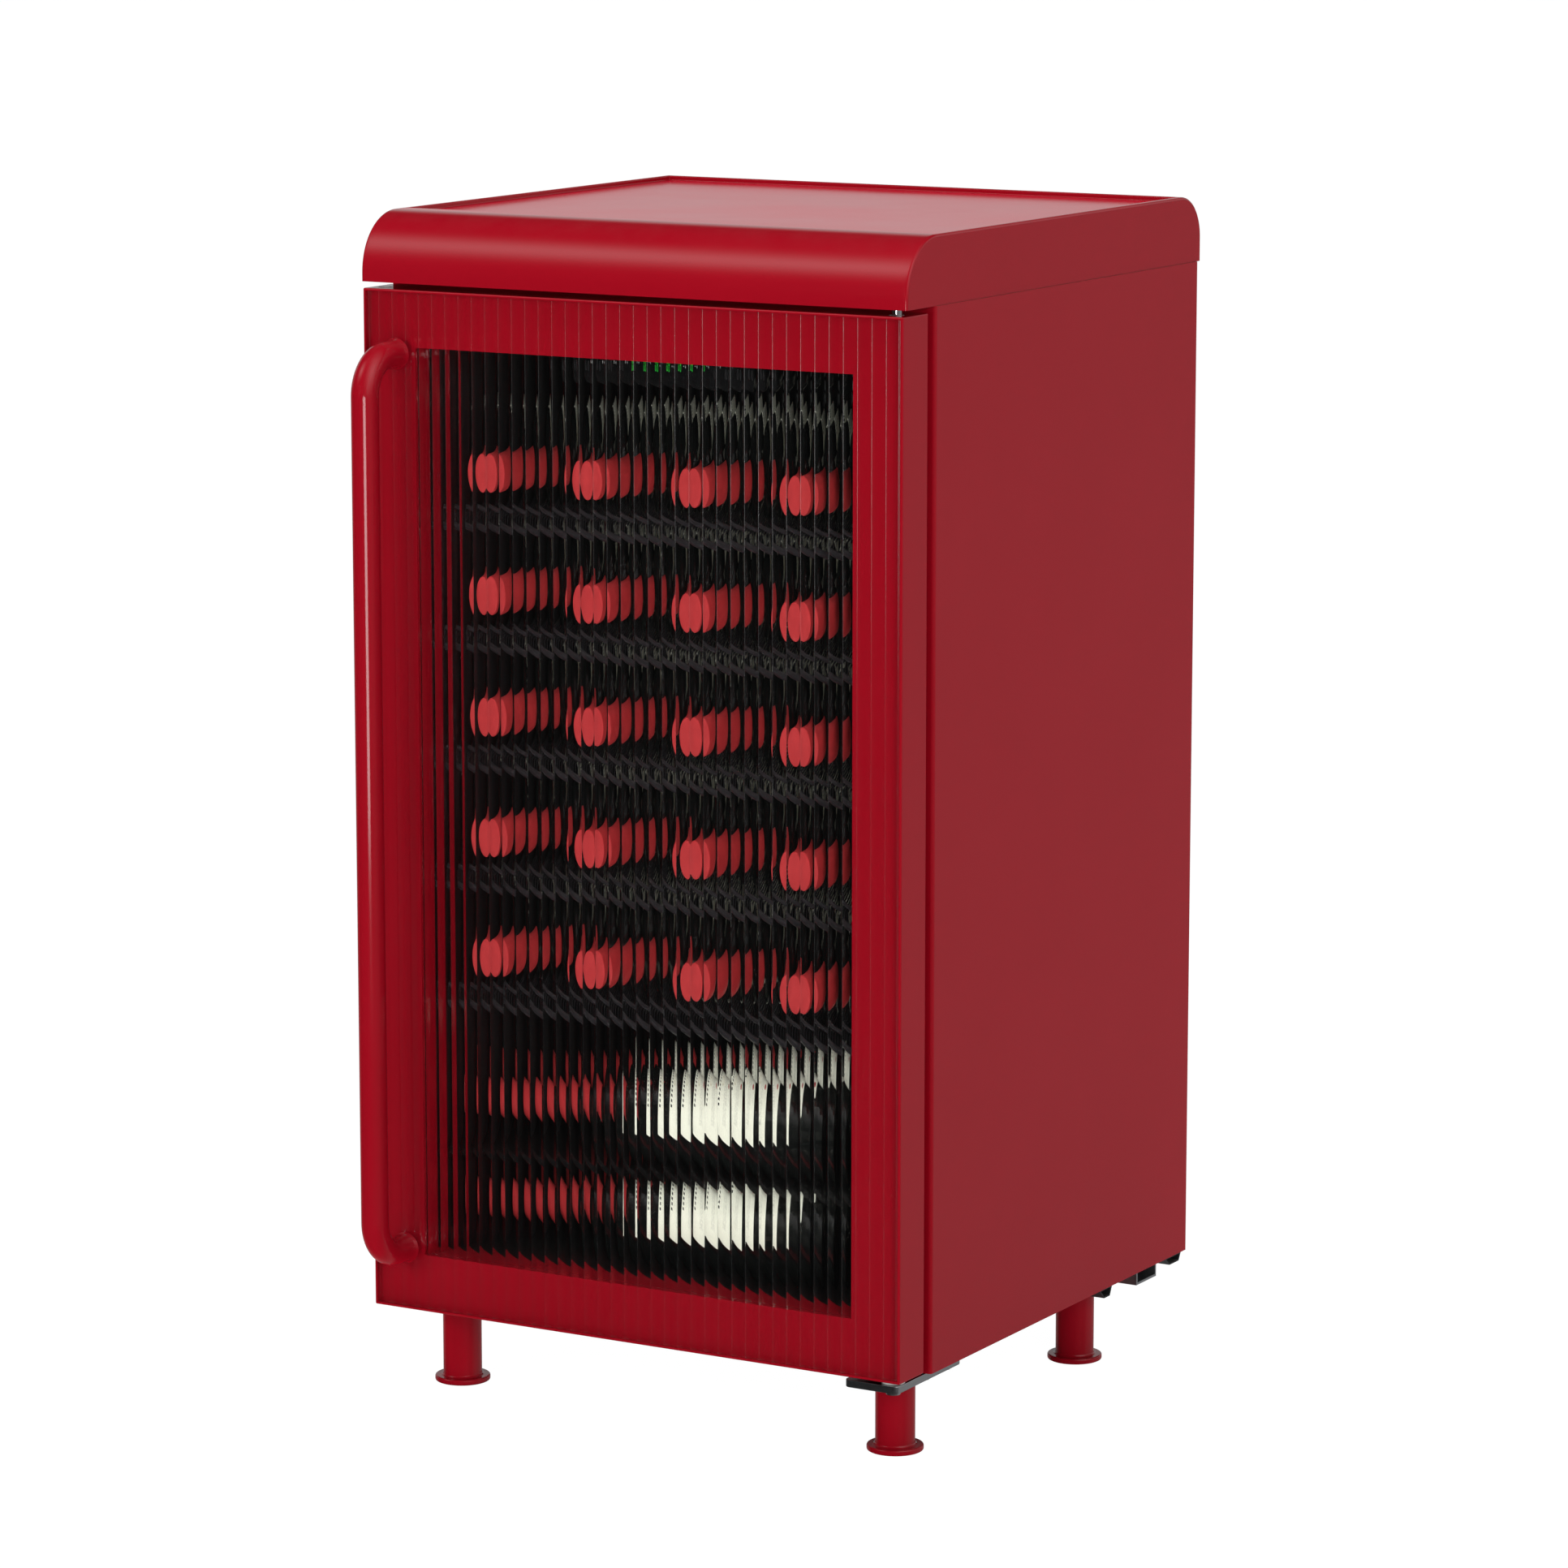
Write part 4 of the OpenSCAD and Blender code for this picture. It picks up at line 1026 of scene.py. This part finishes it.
    def _handle(self) -> None:
        """Makes the handle: one tube with two bends, and a small flared collar at each end."""
        low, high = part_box("handle")
        x, glass = middle_of("handle").x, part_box("fluted_glass")[0].y
        top, bottom = high.z - self.arm_from_end, low.z + self.arm_from_end
        arm = glass - low.y - self.tube_r - self.bend_r
        solid = Solid()
        tube = Tube(solid, (x, glass, top), Axis.FRONT.value, self.tube_r, 40)
        tube.straight(arm).bend((0, 0, -1), self.bend_r, 16).straight(top - bottom - 2 * self.bend_r)
        tube.bend((0, 1, 0), self.bend_r, 16).straight(arm).close()
        flare = [(-1.0, self.collar), (0.0, self.collar), (0.25, 3.0 * MM), (0.7, 1.6 * MM), (1.5, 0.5 * MM),
                 (1.5, 0.0), (-1.0, 0.0)]
        for z in (top, bottom):
            solid.lathe([(self.tube_r + out * MM, up) for out, up in flare], Axis.FRONT.at((x, glass, z)), 40)
        solid.publish("handle_tube", self.finishes.enamel, "red_enamel", ["handle"], 40.0, "door")


# ------------------------------------------------------------------------------------- contents


@dataclass
class Racks:
    """Wire shelves and the closed lower shelf."""

    finishes: Finishes
    wires: int = 27
    wire_r: float = 1.5 * MM
    rail_r: float = 3.0 * MM
    hoop_r: float = 2.0 * MM

    def build(self) -> None:
        """Makes every shelf."""
        for i in range(1, 6):
            self._shelf(f"shelf_{i}")
        low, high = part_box("lower_shelf")
        solid = Solid().block(low, high).soften(1.2 * MM, 3)
        solid.publish("lower_shelf_panel", self.finishes.gloss_black, "black_plastic", ["lower_shelf"])

    def _shelf(self, node: str) -> None:
        """Makes one welded shelf: bent wires over rails, and a hoop along the front."""
        low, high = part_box(node)
        front, back = low.y + self.rail_r, high.y
        half = (high.x - low.x) / 2 - self.rail_r - 2 * MM
        rest = high.z - 6 * MM
        rail = low.z + self.rail_r
        cross = rest - 2 * self.wire_r - self.rail_r + 0.4 * MM
        solid = Solid()
        turn_r = 3.0 * MM
        for i in range(self.wires):
            x = -half + 8 * MM + i * (2 * half - 16 * MM) / (self.wires - 1)
            wire = Tube(solid, (x, back, rest - self.wire_r), Axis.FRONT.value, self.wire_r, 8)
            wire.straight(back - front - turn_r - 1 * MM).bend((0, 0, -1), turn_r, 3)
            wire.straight(rest - self.wire_r - turn_r - rail).close()
        for y, z in ((front, rail), (-40 * MM, cross), (60 * MM, cross), (back - self.rail_r, cross)):
            solid.rod((-half, y, z), (half, y, z), self.rail_r, 16)
        for side in (-1, 1):
            x = side * (half + 2 * MM)
            solid.rod((x, front, cross), (x, back, cross), self.rail_r, 16)
        corner = 8 * MM
        upright = rest + 4 * MM - corner - rail
        hoop = Tube(solid, (-half, front, rail), Axis.UP.value, self.hoop_r, 12)
        hoop.straight(upright).bend((1, 0, 0), corner, 6).straight(2 * (half - corner))
        hoop.bend((0, 0, -1), corner, 6).straight(upright).close()
        solid.publish(node + "_wires", self.finishes.wire, "shelf_wire", [node], 50.0)


@dataclass
class Bottles:
    """Bottles with foil capsules and paper labels, on the shelves and lying below."""

    finishes: Finishes
    radius: float = 37.5 * MM
    length: float = 300.0 * MM
    body: float = 190.0 * MM
    shoulder: float = 38.0 * MM
    neck_r: float = 14.5 * MM
    capsule: float = 60.0 * MM
    foil: float = 0.8 * MM
    label_from: float = 60.0 * MM
    label_len: float = 88.0 * MM
    paper: float = 0.3 * MM
    label_arc: float = math.radians(160)
    pitch: float = 92.7 * MM
    columns: int = 4
    rows: int = 5
    lying_turn: float = math.radians(-20)

    def build(self) -> None:
        """Makes every bottle, capsule and label."""
        capsules, labels = Solid(), Solid()
        for row in range(1, self.rows + 1):
            node = f"bottles_row_{row}"
            low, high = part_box(node)
            bottles = Solid()
            for column in range(self.columns):
                x = (column - (self.columns - 1) / 2) * self.pitch
                place = Matrix.Translation((x, high.y, (low.z + high.z) / 2))
                place = place @ Matrix.Rotation(math.pi / 2, 4, "X")
                self._bottle(bottles, place)
                self._capsule(capsules, place)
                self._label(labels, place @ Matrix.Rotation(math.pi / 2, 4, "Z"))
            bottles.publish(node + "_glass", self.finishes.bottle, "bottle_glass", [node], 40.0)
        low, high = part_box("lying_bottles")
        lying = Solid()
        for y in (low.y + self.radius, high.y - self.radius):
            for z in (low.z + self.radius, high.z - self.radius):
                place = Matrix.Translation((high.x, y, z)) @ Matrix.Rotation(-math.pi / 2, 4, "Y")
                self._bottle(lying, place)
                self._capsule(capsules, place)
                self._label(labels, place @ Matrix.Rotation(self.lying_turn, 4, "Z"))
        lying.publish("lying_bottles_glass", self.finishes.bottle, "bottle_glass", ["lying_bottles"], 40.0)
        capsules.publish("foil_capsules", self.finishes.foil, "capsule_foil", ["bottle_capsules"], 40.0)
        labels.publish("paper_labels", self.finishes.label, "label_paper", ["bottle_labels"], 40.0)

    def _bottle(self, solid: Solid, place: Matrix) -> None:
        """Adds one bottle, with a punt in its base and a smooth shoulder."""
        rise = self.radius - self.neck_r
        steps = 12
        shoulder = [(self.neck_r + rise * (1 + math.cos(math.pi * i / steps)) / 2,
                     self.body + self.shoulder * i / steps) for i in range(steps + 1)]
        outline = [(0, 6 * MM), (12 * MM, 5 * MM), (22 * MM, 1 * MM), (26 * MM, 0), (34 * MM, 0),
                   (36.6 * MM, 1 * MM), (self.radius, 3.4 * MM), *shoulder, (self.neck_r, self.length - MM),
                   (self.neck_r - MM, self.length), (0, self.length)]
        solid.lathe(outline, place, 40)

    def _capsule(self, solid: Solid, place: Matrix) -> None:
        """Adds one foil capsule with a rolled skirt and a soft crown."""
        r = self.neck_r + self.foil
        start, end = self.length - self.capsule, self.length + self.foil
        outline = [(self.neck_r, start), (r, start), (r, start + 0.6 * MM), (r, end - 1.4 * MM),
                   (r - 0.4 * MM, end - 0.5 * MM), (r - 1.4 * MM, end), (r - 4.0 * MM, end - 0.1 * MM),
                   (0, end - 0.1 * MM), (0, self.length), (self.neck_r, self.length), (self.neck_r, start)]
        solid.lathe(outline, place, 36)

    def _label(self, solid: Solid, place: Matrix) -> None:
        """Adds one curved paper label and its own map, from 0 to 1 both ways."""
        bm = solid.bm
        uv = bm.loops.layers.uv.get("label") or bm.loops.layers.uv.new("label")
        inner, outer = self.radius + 0.02 * MM, self.radius + self.paper
        start = Matrix.Rotation(-self.label_arc / 2, 3, "Z")
        low, high = self.label_from, self.label_from + self.label_len
        section = ((inner, 0, low), (outer, 0, low), (outer, 0, high), (inner, 0, high))
        face = bm.faces.new([bm.verts.new(start @ Vector(corner)) for corner in section])
        bmesh.ops.spin(bm, geom=[face], cent=(0, 0, 0), axis=(0, 0, 1), dvec=(0, 0, 0), angle=self.label_arc,
                       steps=22)
        faces = _linked_faces(list(face.verts) if face.is_valid else bm.verts[-4:])
        for f in faces:
            for loop in f.loops:
                co = loop.vert.co
                loop[uv].uv = (math.atan2(co.y, co.x) / self.label_arc + 0.5, (co.z - low) / self.label_len)
        bmesh.ops.transform(bm, matrix=place, verts=list({v for f in faces for v in f.verts}))


BUTTONS = ("button_power", "button_light", "button_down", "button_up")


@dataclass
class Controls:
    """The control box under the ceiling, with its display, icons and buttons."""

    finishes: Finishes
    icon: float = 2.6 * MM
    lift: float = 4.0 * MM
    segment: tuple[float, float] = (4.6 * MM, 1.0 * MM)
    marks: tuple[float, ...] = (-46.0 * MM, -36.0 * MM, 20.0 * MM, 30.0 * MM)
    proud: float = 0.15 * MM
    bar: float = 0.35 * MM
    corner_r: float = 12.0 * MM
    hole_r: float = 4.3 * MM
    hole_depth: float = 12.0 * MM
    stem_r: float = 2.0 * MM
    cap_depth: float = 9.5 * MM
    lit: tuple[str, ...] = ("1110111", "1111111")

    def build(self) -> None:
        """Makes every piece of the controls."""
        self._box()
        for node in BUTTONS:
            self._button(node)
        self._icons()
        dress(self.finishes.gloss_black, "display_window")
        self._figures()
        dress(self.finishes.lamp, "interior_lamp")

    def _box(self) -> None:
        """Makes the housing with rounded lower corners, a window recess and button holes."""
        low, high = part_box("control_box")
        window_low, window_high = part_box("display_window")
        solid = Solid().block(low, high)
        solid.soften(self.corner_r, 8, 60, lambda e: abs(e.verts[0].co.y - e.verts[1].co.y) > 10 * MM
                     and e.verts[0].co.z < low.z + MM)
        solid.soften(0.8 * MM, 2, 60)
        cutters = [Solid().block((window_low.x, low.y - MM, window_low.z), window_high)]
        for node in BUTTONS:
            x, _, z = middle_of(node)
            cutters.append(Solid().rod((x, low.y - MM, z), (x, low.y + self.hole_depth, z), self.hole_r, 32))
        solid.cut(*cutters)
        solid.publish("control_housing", self.finishes.gloss_black, "black_plastic", ["control_box"], 30.0)

    def _button(self, node: str) -> None:
        """Makes one dished push button."""
        low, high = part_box(node)
        x, _, z = middle_of(node)
        r, depth = (high.x - low.x) / 2, high.y - low.y
        outline = [(0, 0.35 * MM), (1.6 * MM, 0.25 * MM), (2.8 * MM, 0.05 * MM), (r - 0.5 * MM, 0),
                   (r - 0.15 * MM, 0.15 * MM), (r, 0.5 * MM), (r, self.cap_depth),
                   (self.stem_r, self.cap_depth), (self.stem_r, depth), (0, depth)]
        solid = Solid().lathe(outline, Axis.BACK.at((x, low.y, z)), 32)
        solid.publish(node + "_cap", self.finishes.button, "button_plastic", [node], 30.0, node)

    def _display(self) -> tuple[float, float]:
        """Returns the front of the display window and the height of its marks."""
        low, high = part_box("display_window")
        return low.y, (low.z + high.z) / 2 + self.lift

    def _figures(self) -> None:
        """Makes two lit figures of seven tapered segments."""
        face, middle = self._display()
        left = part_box("display_digits")[0].x
        long, wide = self.segment
        point = wide / 2
        solid = Solid()
        for figure, lit in enumerate(self.lit):
            x = left + point + figure * 2.2 * long
            spans = [((0, k), (1, k)) for k in (1, 0, -1)]
            spans += [((i, k), (i, k + 1)) for i in (0, 1) for k in (0, -1)]
            order = (spans[0], spans[3], spans[5], spans[1], spans[4], spans[6], spans[2])
            for ends, on in zip(order, lit):
                if on == "0":
                    continue
                start, stop = (Vector((x + i * long, face - self.proud, middle + k * long)) for i, k in ends)
                along = (stop - start).normalized()
                side = along.cross(Vector((0, 1, 0))) * point
                start, stop = start + along * 0.15 * MM, stop - along * 0.15 * MM
                inner, outer = start + along * point, stop - along * point
                solid.prism([start, inner + side, outer + side, stop, outer - side, inner - side],
                            (0, 1.5 * self.proud, 0))
        solid.publish("lit_figures", self.finishes.lit_green, "lamp_diffuser", ["display_digits"])

    def _icons(self) -> None:
        """Makes small plain marks in the display: a ring, a lamp, a minus and a plus."""
        face, middle = self._display()
        solid = Solid()
        places = [(x, middle) for x in self.marks]
        y0, y1 = face - self.proud, face + self.proud
        bar, half = self.bar, self.icon / 2
        for x, z in places[2:]:
            solid.block((x - half, y0, z - bar), (x + half, y1, z + bar))
        x, z = places[3]
        solid.block((x - bar, y0, z + bar), (x + bar, y1, z + half))
        solid.block((x - bar, y0, z - half), (x + bar, y1, z - bar))
        x, z = places[0]
        bore = half - 2 * bar
        ring = [(bore, 0), (half, 0), (half, y1 - y0), (bore, y1 - y0), (bore, 0)]
        solid.lathe(ring, Axis.BACK.at((x, y0, z)), 24)
        x, z = places[1]
        solid.rod((x, y0, z), (x, y1, z), half * 0.6, 16)
        centre = Vector((x, (y0 + y1) / 2, z))
        for k in range(8):
            ray = Vector((math.cos(k * math.pi / 4), 0, math.sin(k * math.pi / 4))) * half
            solid.rod(centre + ray * 0.8, centre + ray * 1.15, self.proud, 6)
        solid.publish("control_icons", self.finishes.icon_white, "lamp_diffuser")


@dataclass
class CoolingUnit:
    """The evaporator side inside and the compressor side outside."""

    finishes: Finishes

    def build(self) -> None:
        """Dresses every part of the unit."""
        f = self.finishes
        for finish, *nodes in (
                (f.liner, "evaporator_cover"), (f.aluminium, "evaporator_plate"), (f.fan, "fan_rotor"),
                (f.plastic, "fan_motor", "terminal_box", "cable_gland"), (f.copper, "refrigerant_tubes"),
                (f.black_paint, "compressor", "compressor_plate", "rear_grille"),
                (f.rubber, "compressor_mounts"), (f.zinc, "rear_skid")):
            dress(finish, *nodes)


# ------------------------------------------------------------------------------------- studio


@dataclass(frozen=True)
class Spot:
    """A soft bright patch of the surround that only reflections show.

    Attributes:
        way: The direction it lies in.
        spread: Its spread in radians.
        glow: Its strength.
    """

    way: Vector
    spread: float
    glow: float


@dataclass
class Studio:
    """A pale floor, soft light and the camera."""

    eye: Vector = field(default_factory=lambda: Vector((2.3588, -4.0658, 1.3121)))
    pitch: float = math.radians(80)
    yaw: float = math.radians(30)
    field_of_view: float = math.radians(15)
    fill: float = 0.25
    below: float = 0.21
    above: float = 0.50
    sweep: float = 1.08
    sweep_share: float = 0.92
    floor_size: float = 40.0
    polished: tuple[str, ...] = ("handle_tube", "top_cover_shell", "upper_hinge_pin", "lower_hinge_pin")
    spots: tuple[Spot, ...] = (Spot(Vector((-0.492, -0.507, 0.709)), 0.25, 1.6),
                               Spot(Vector((0.75, -0.25, 0.60)), 0.5, 1.4))

    def build(self) -> None:
        """Makes the camera, the lights, the world and the floor."""
        self._camera()
        self._world()
        self._floor()
        self.light("overhead", (0.0, -0.35, 2.6), (0.0, -0.05, 0.9), (1.5, 1.1), 22.0)
        self.light("front", (-0.9, -4.0, 1.5), (0.0, -0.2, 0.5), (1.6, 1.2), 45.0)
        self.light("right", (3.0, -2.6, 1.5), (0.2, -0.2, 0.5), (1.2, 1.6), 46.0)
        bpy.context.scene.view_settings.view_transform = "Standard"

    def _camera(self) -> None:
        """Makes the camera."""
        data = bpy.data.cameras.new("camera")
        data.sensor_width = 36.0
        data.lens = data.sensor_width / 2 / math.tan(self.field_of_view / 2)
        data.clip_end = 50.0
        camera = bpy.data.objects.new("camera", data)
        camera.location = self.eye
        camera.rotation_euler = (self.pitch, 0.0, self.yaw)
        bpy.context.scene.collection.objects.link(camera)
        bpy.context.scene.camera = camera

    def pick_out(self) -> None:
        """Adds the lights that few pieces see: a bright strip in polished edges, and one on the labels."""
        strip = self.light("strip", (0.80, -2.2, 0.40), (-0.2, -0.25, 0.75), (0.75, 0.68), 11.0, shine=True)
        labels = self.light("on_labels", (-0.9, -4.0, 1.5), (0.0, -0.2, 0.3), (1.6, 1.2), 75.0)
        for light, names in ((strip, self.polished), (labels, ("paper_labels",))):
            light.light_linking.receiver_collection = bpy.data.collections.new(light.name)
            for name in names:
                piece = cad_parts.get(name) or bpy.data.objects[name]
                light.light_linking.receiver_collection.objects.link(piece)

    @staticmethod
    def light(name: str, place: Sequence[float], aim: Sequence[float], size: tuple[float, float],
              power: float, shine: bool = False) -> bpy.types.Object:
        """Makes one soft light.

        Args:
            name: Its name.
            place: Where it hangs.
            aim: What it points at.
            size: Its width and height.
            power: Its power in watts.
            shine: Whether it is seen in reflections, and then in nothing else.

        Returns:
            The light.
        """
        data = bpy.data.lights.new(name, "AREA")
        data.shape, data.size, data.size_y, data.energy = "RECTANGLE", *size, power
        light = bpy.data.objects.new(name, data)
        light.location = place
        light.rotation_euler = (Vector(aim) - Vector(place)).to_track_quat("-Z", "Y").to_euler()
        light.visible_camera = light.visible_transmission = False
        light.visible_glossy = shine
        light.visible_diffuse = not shine
        bpy.context.scene.collection.objects.link(light)
        return light

    def _world(self) -> None:
        """Makes a white surround, with a darker and banded one for reflections."""
        world = bpy.data.worlds.new("studio")
        world.use_nodes = True
        bpy.context.scene.world = world
        n = Nodes(world.node_tree)
        n.tree.nodes.clear()
        place = n.add("TexCoord").outputs["Generated"]
        way = n.add("SeparateXYZ", {0: place}).outputs
        low_band = n.remap(way["Z"], -0.02, 0.08, self.below, self.above, True)
        high_band = n.remap(way["Z"], 0.30, 0.55, 1.0, 0.04, True)
        mirror = n.times(low_band, high_band, n.remap(way["Y"], -0.2, 0.5, 0.05, 1.0, True))
        for spot in self.spots:
            ahead = n.add("VectorMath", {0: place, 1: spot.way.normalized()}, operation="DOT_PRODUCT")
            fall = n.times(n.math("SUBTRACT", ahead.outputs["Value"], 1.0), 2.0 / spot.spread ** 2)
            mirror = n.math("ADD", mirror, n.times(n.math("EXPONENT", fall), spot.glow))
        path, straight = self._path(n)
        plain, seen, shine = (n.add("Background", {"Color": WHITE, "Strength": strength})
                              for strength in (self.fill, 1.0, mirror))
        final = n.mix(straight, n.mix(path["Is Diffuse Ray"], shine, plain), seen)
        world.cycles.sampling_method = "NONE"
        n.feed(n.add("OutputWorld"), {"Surface": final.outputs[0]})

    @staticmethod
    def _path(n: Nodes) -> tuple[Sequence[Socket], Socket]:
        """Returns what is known of a ray's path, and 1 where nothing has sent it on yet."""
        path = n.add("LightPath").outputs
        bounced = n.math("ADD", path["Glossy Depth"], path["Diffuse Depth"])
        return path, n.math("LESS_THAN", bounced, 0.5)

    def _floor(self) -> None:
        """Makes the pale floor."""
        solid = Solid()
        bmesh.ops.create_grid(solid.bm, x_segments=1, y_segments=1, size=self.floor_size)
        mesh = bpy.data.meshes.new("floor")
        solid.bm.to_mesh(mesh)
        solid.bm.free()
        material, n, shader = new_material("floor")
        tone = n.blend(n.surface(3.0, 60.0, 0.5)["Mottle"], (0.93, 0.93, 0.93), (0.95, 0.95, 0.95))
        n.feed(shader, {"Base Color": tone, "Roughness": 0.9, "Specular IOR Level": 0.0})
        path, straight = self._path(n)
        sweep = n.add("Emission", {"Color": WHITE, "Strength": self.sweep})
        mixed = n.mix(n.times(straight, self.sweep_share), shader, sweep)
        mixed = n.mix(n.math("GREATER_THAN", path["Glossy Depth"], 0.5), mixed, n.add("BsdfTransparent"))
        n.feed(n.tree.nodes["Material Output"], {"Surface": mixed.outputs[0]})
        mesh.materials.append(material)
        floor = bpy.data.objects.new("floor", mesh)
        bpy.context.scene.collection.objects.link(floor)


def main() -> None:
    logging.basicConfig(level=logging.INFO, format="%(message)s")
    studio = Studio()
    studio.build()
    finishes = Finishes()
    for part in (Cabinet, Door, Racks, Bottles, Controls, CoolingUnit):
        part(finishes).build()
        LOG.info("%s: built", part.__name__)
    studio.pick_out()


if __name__ == "__main__":
    main()
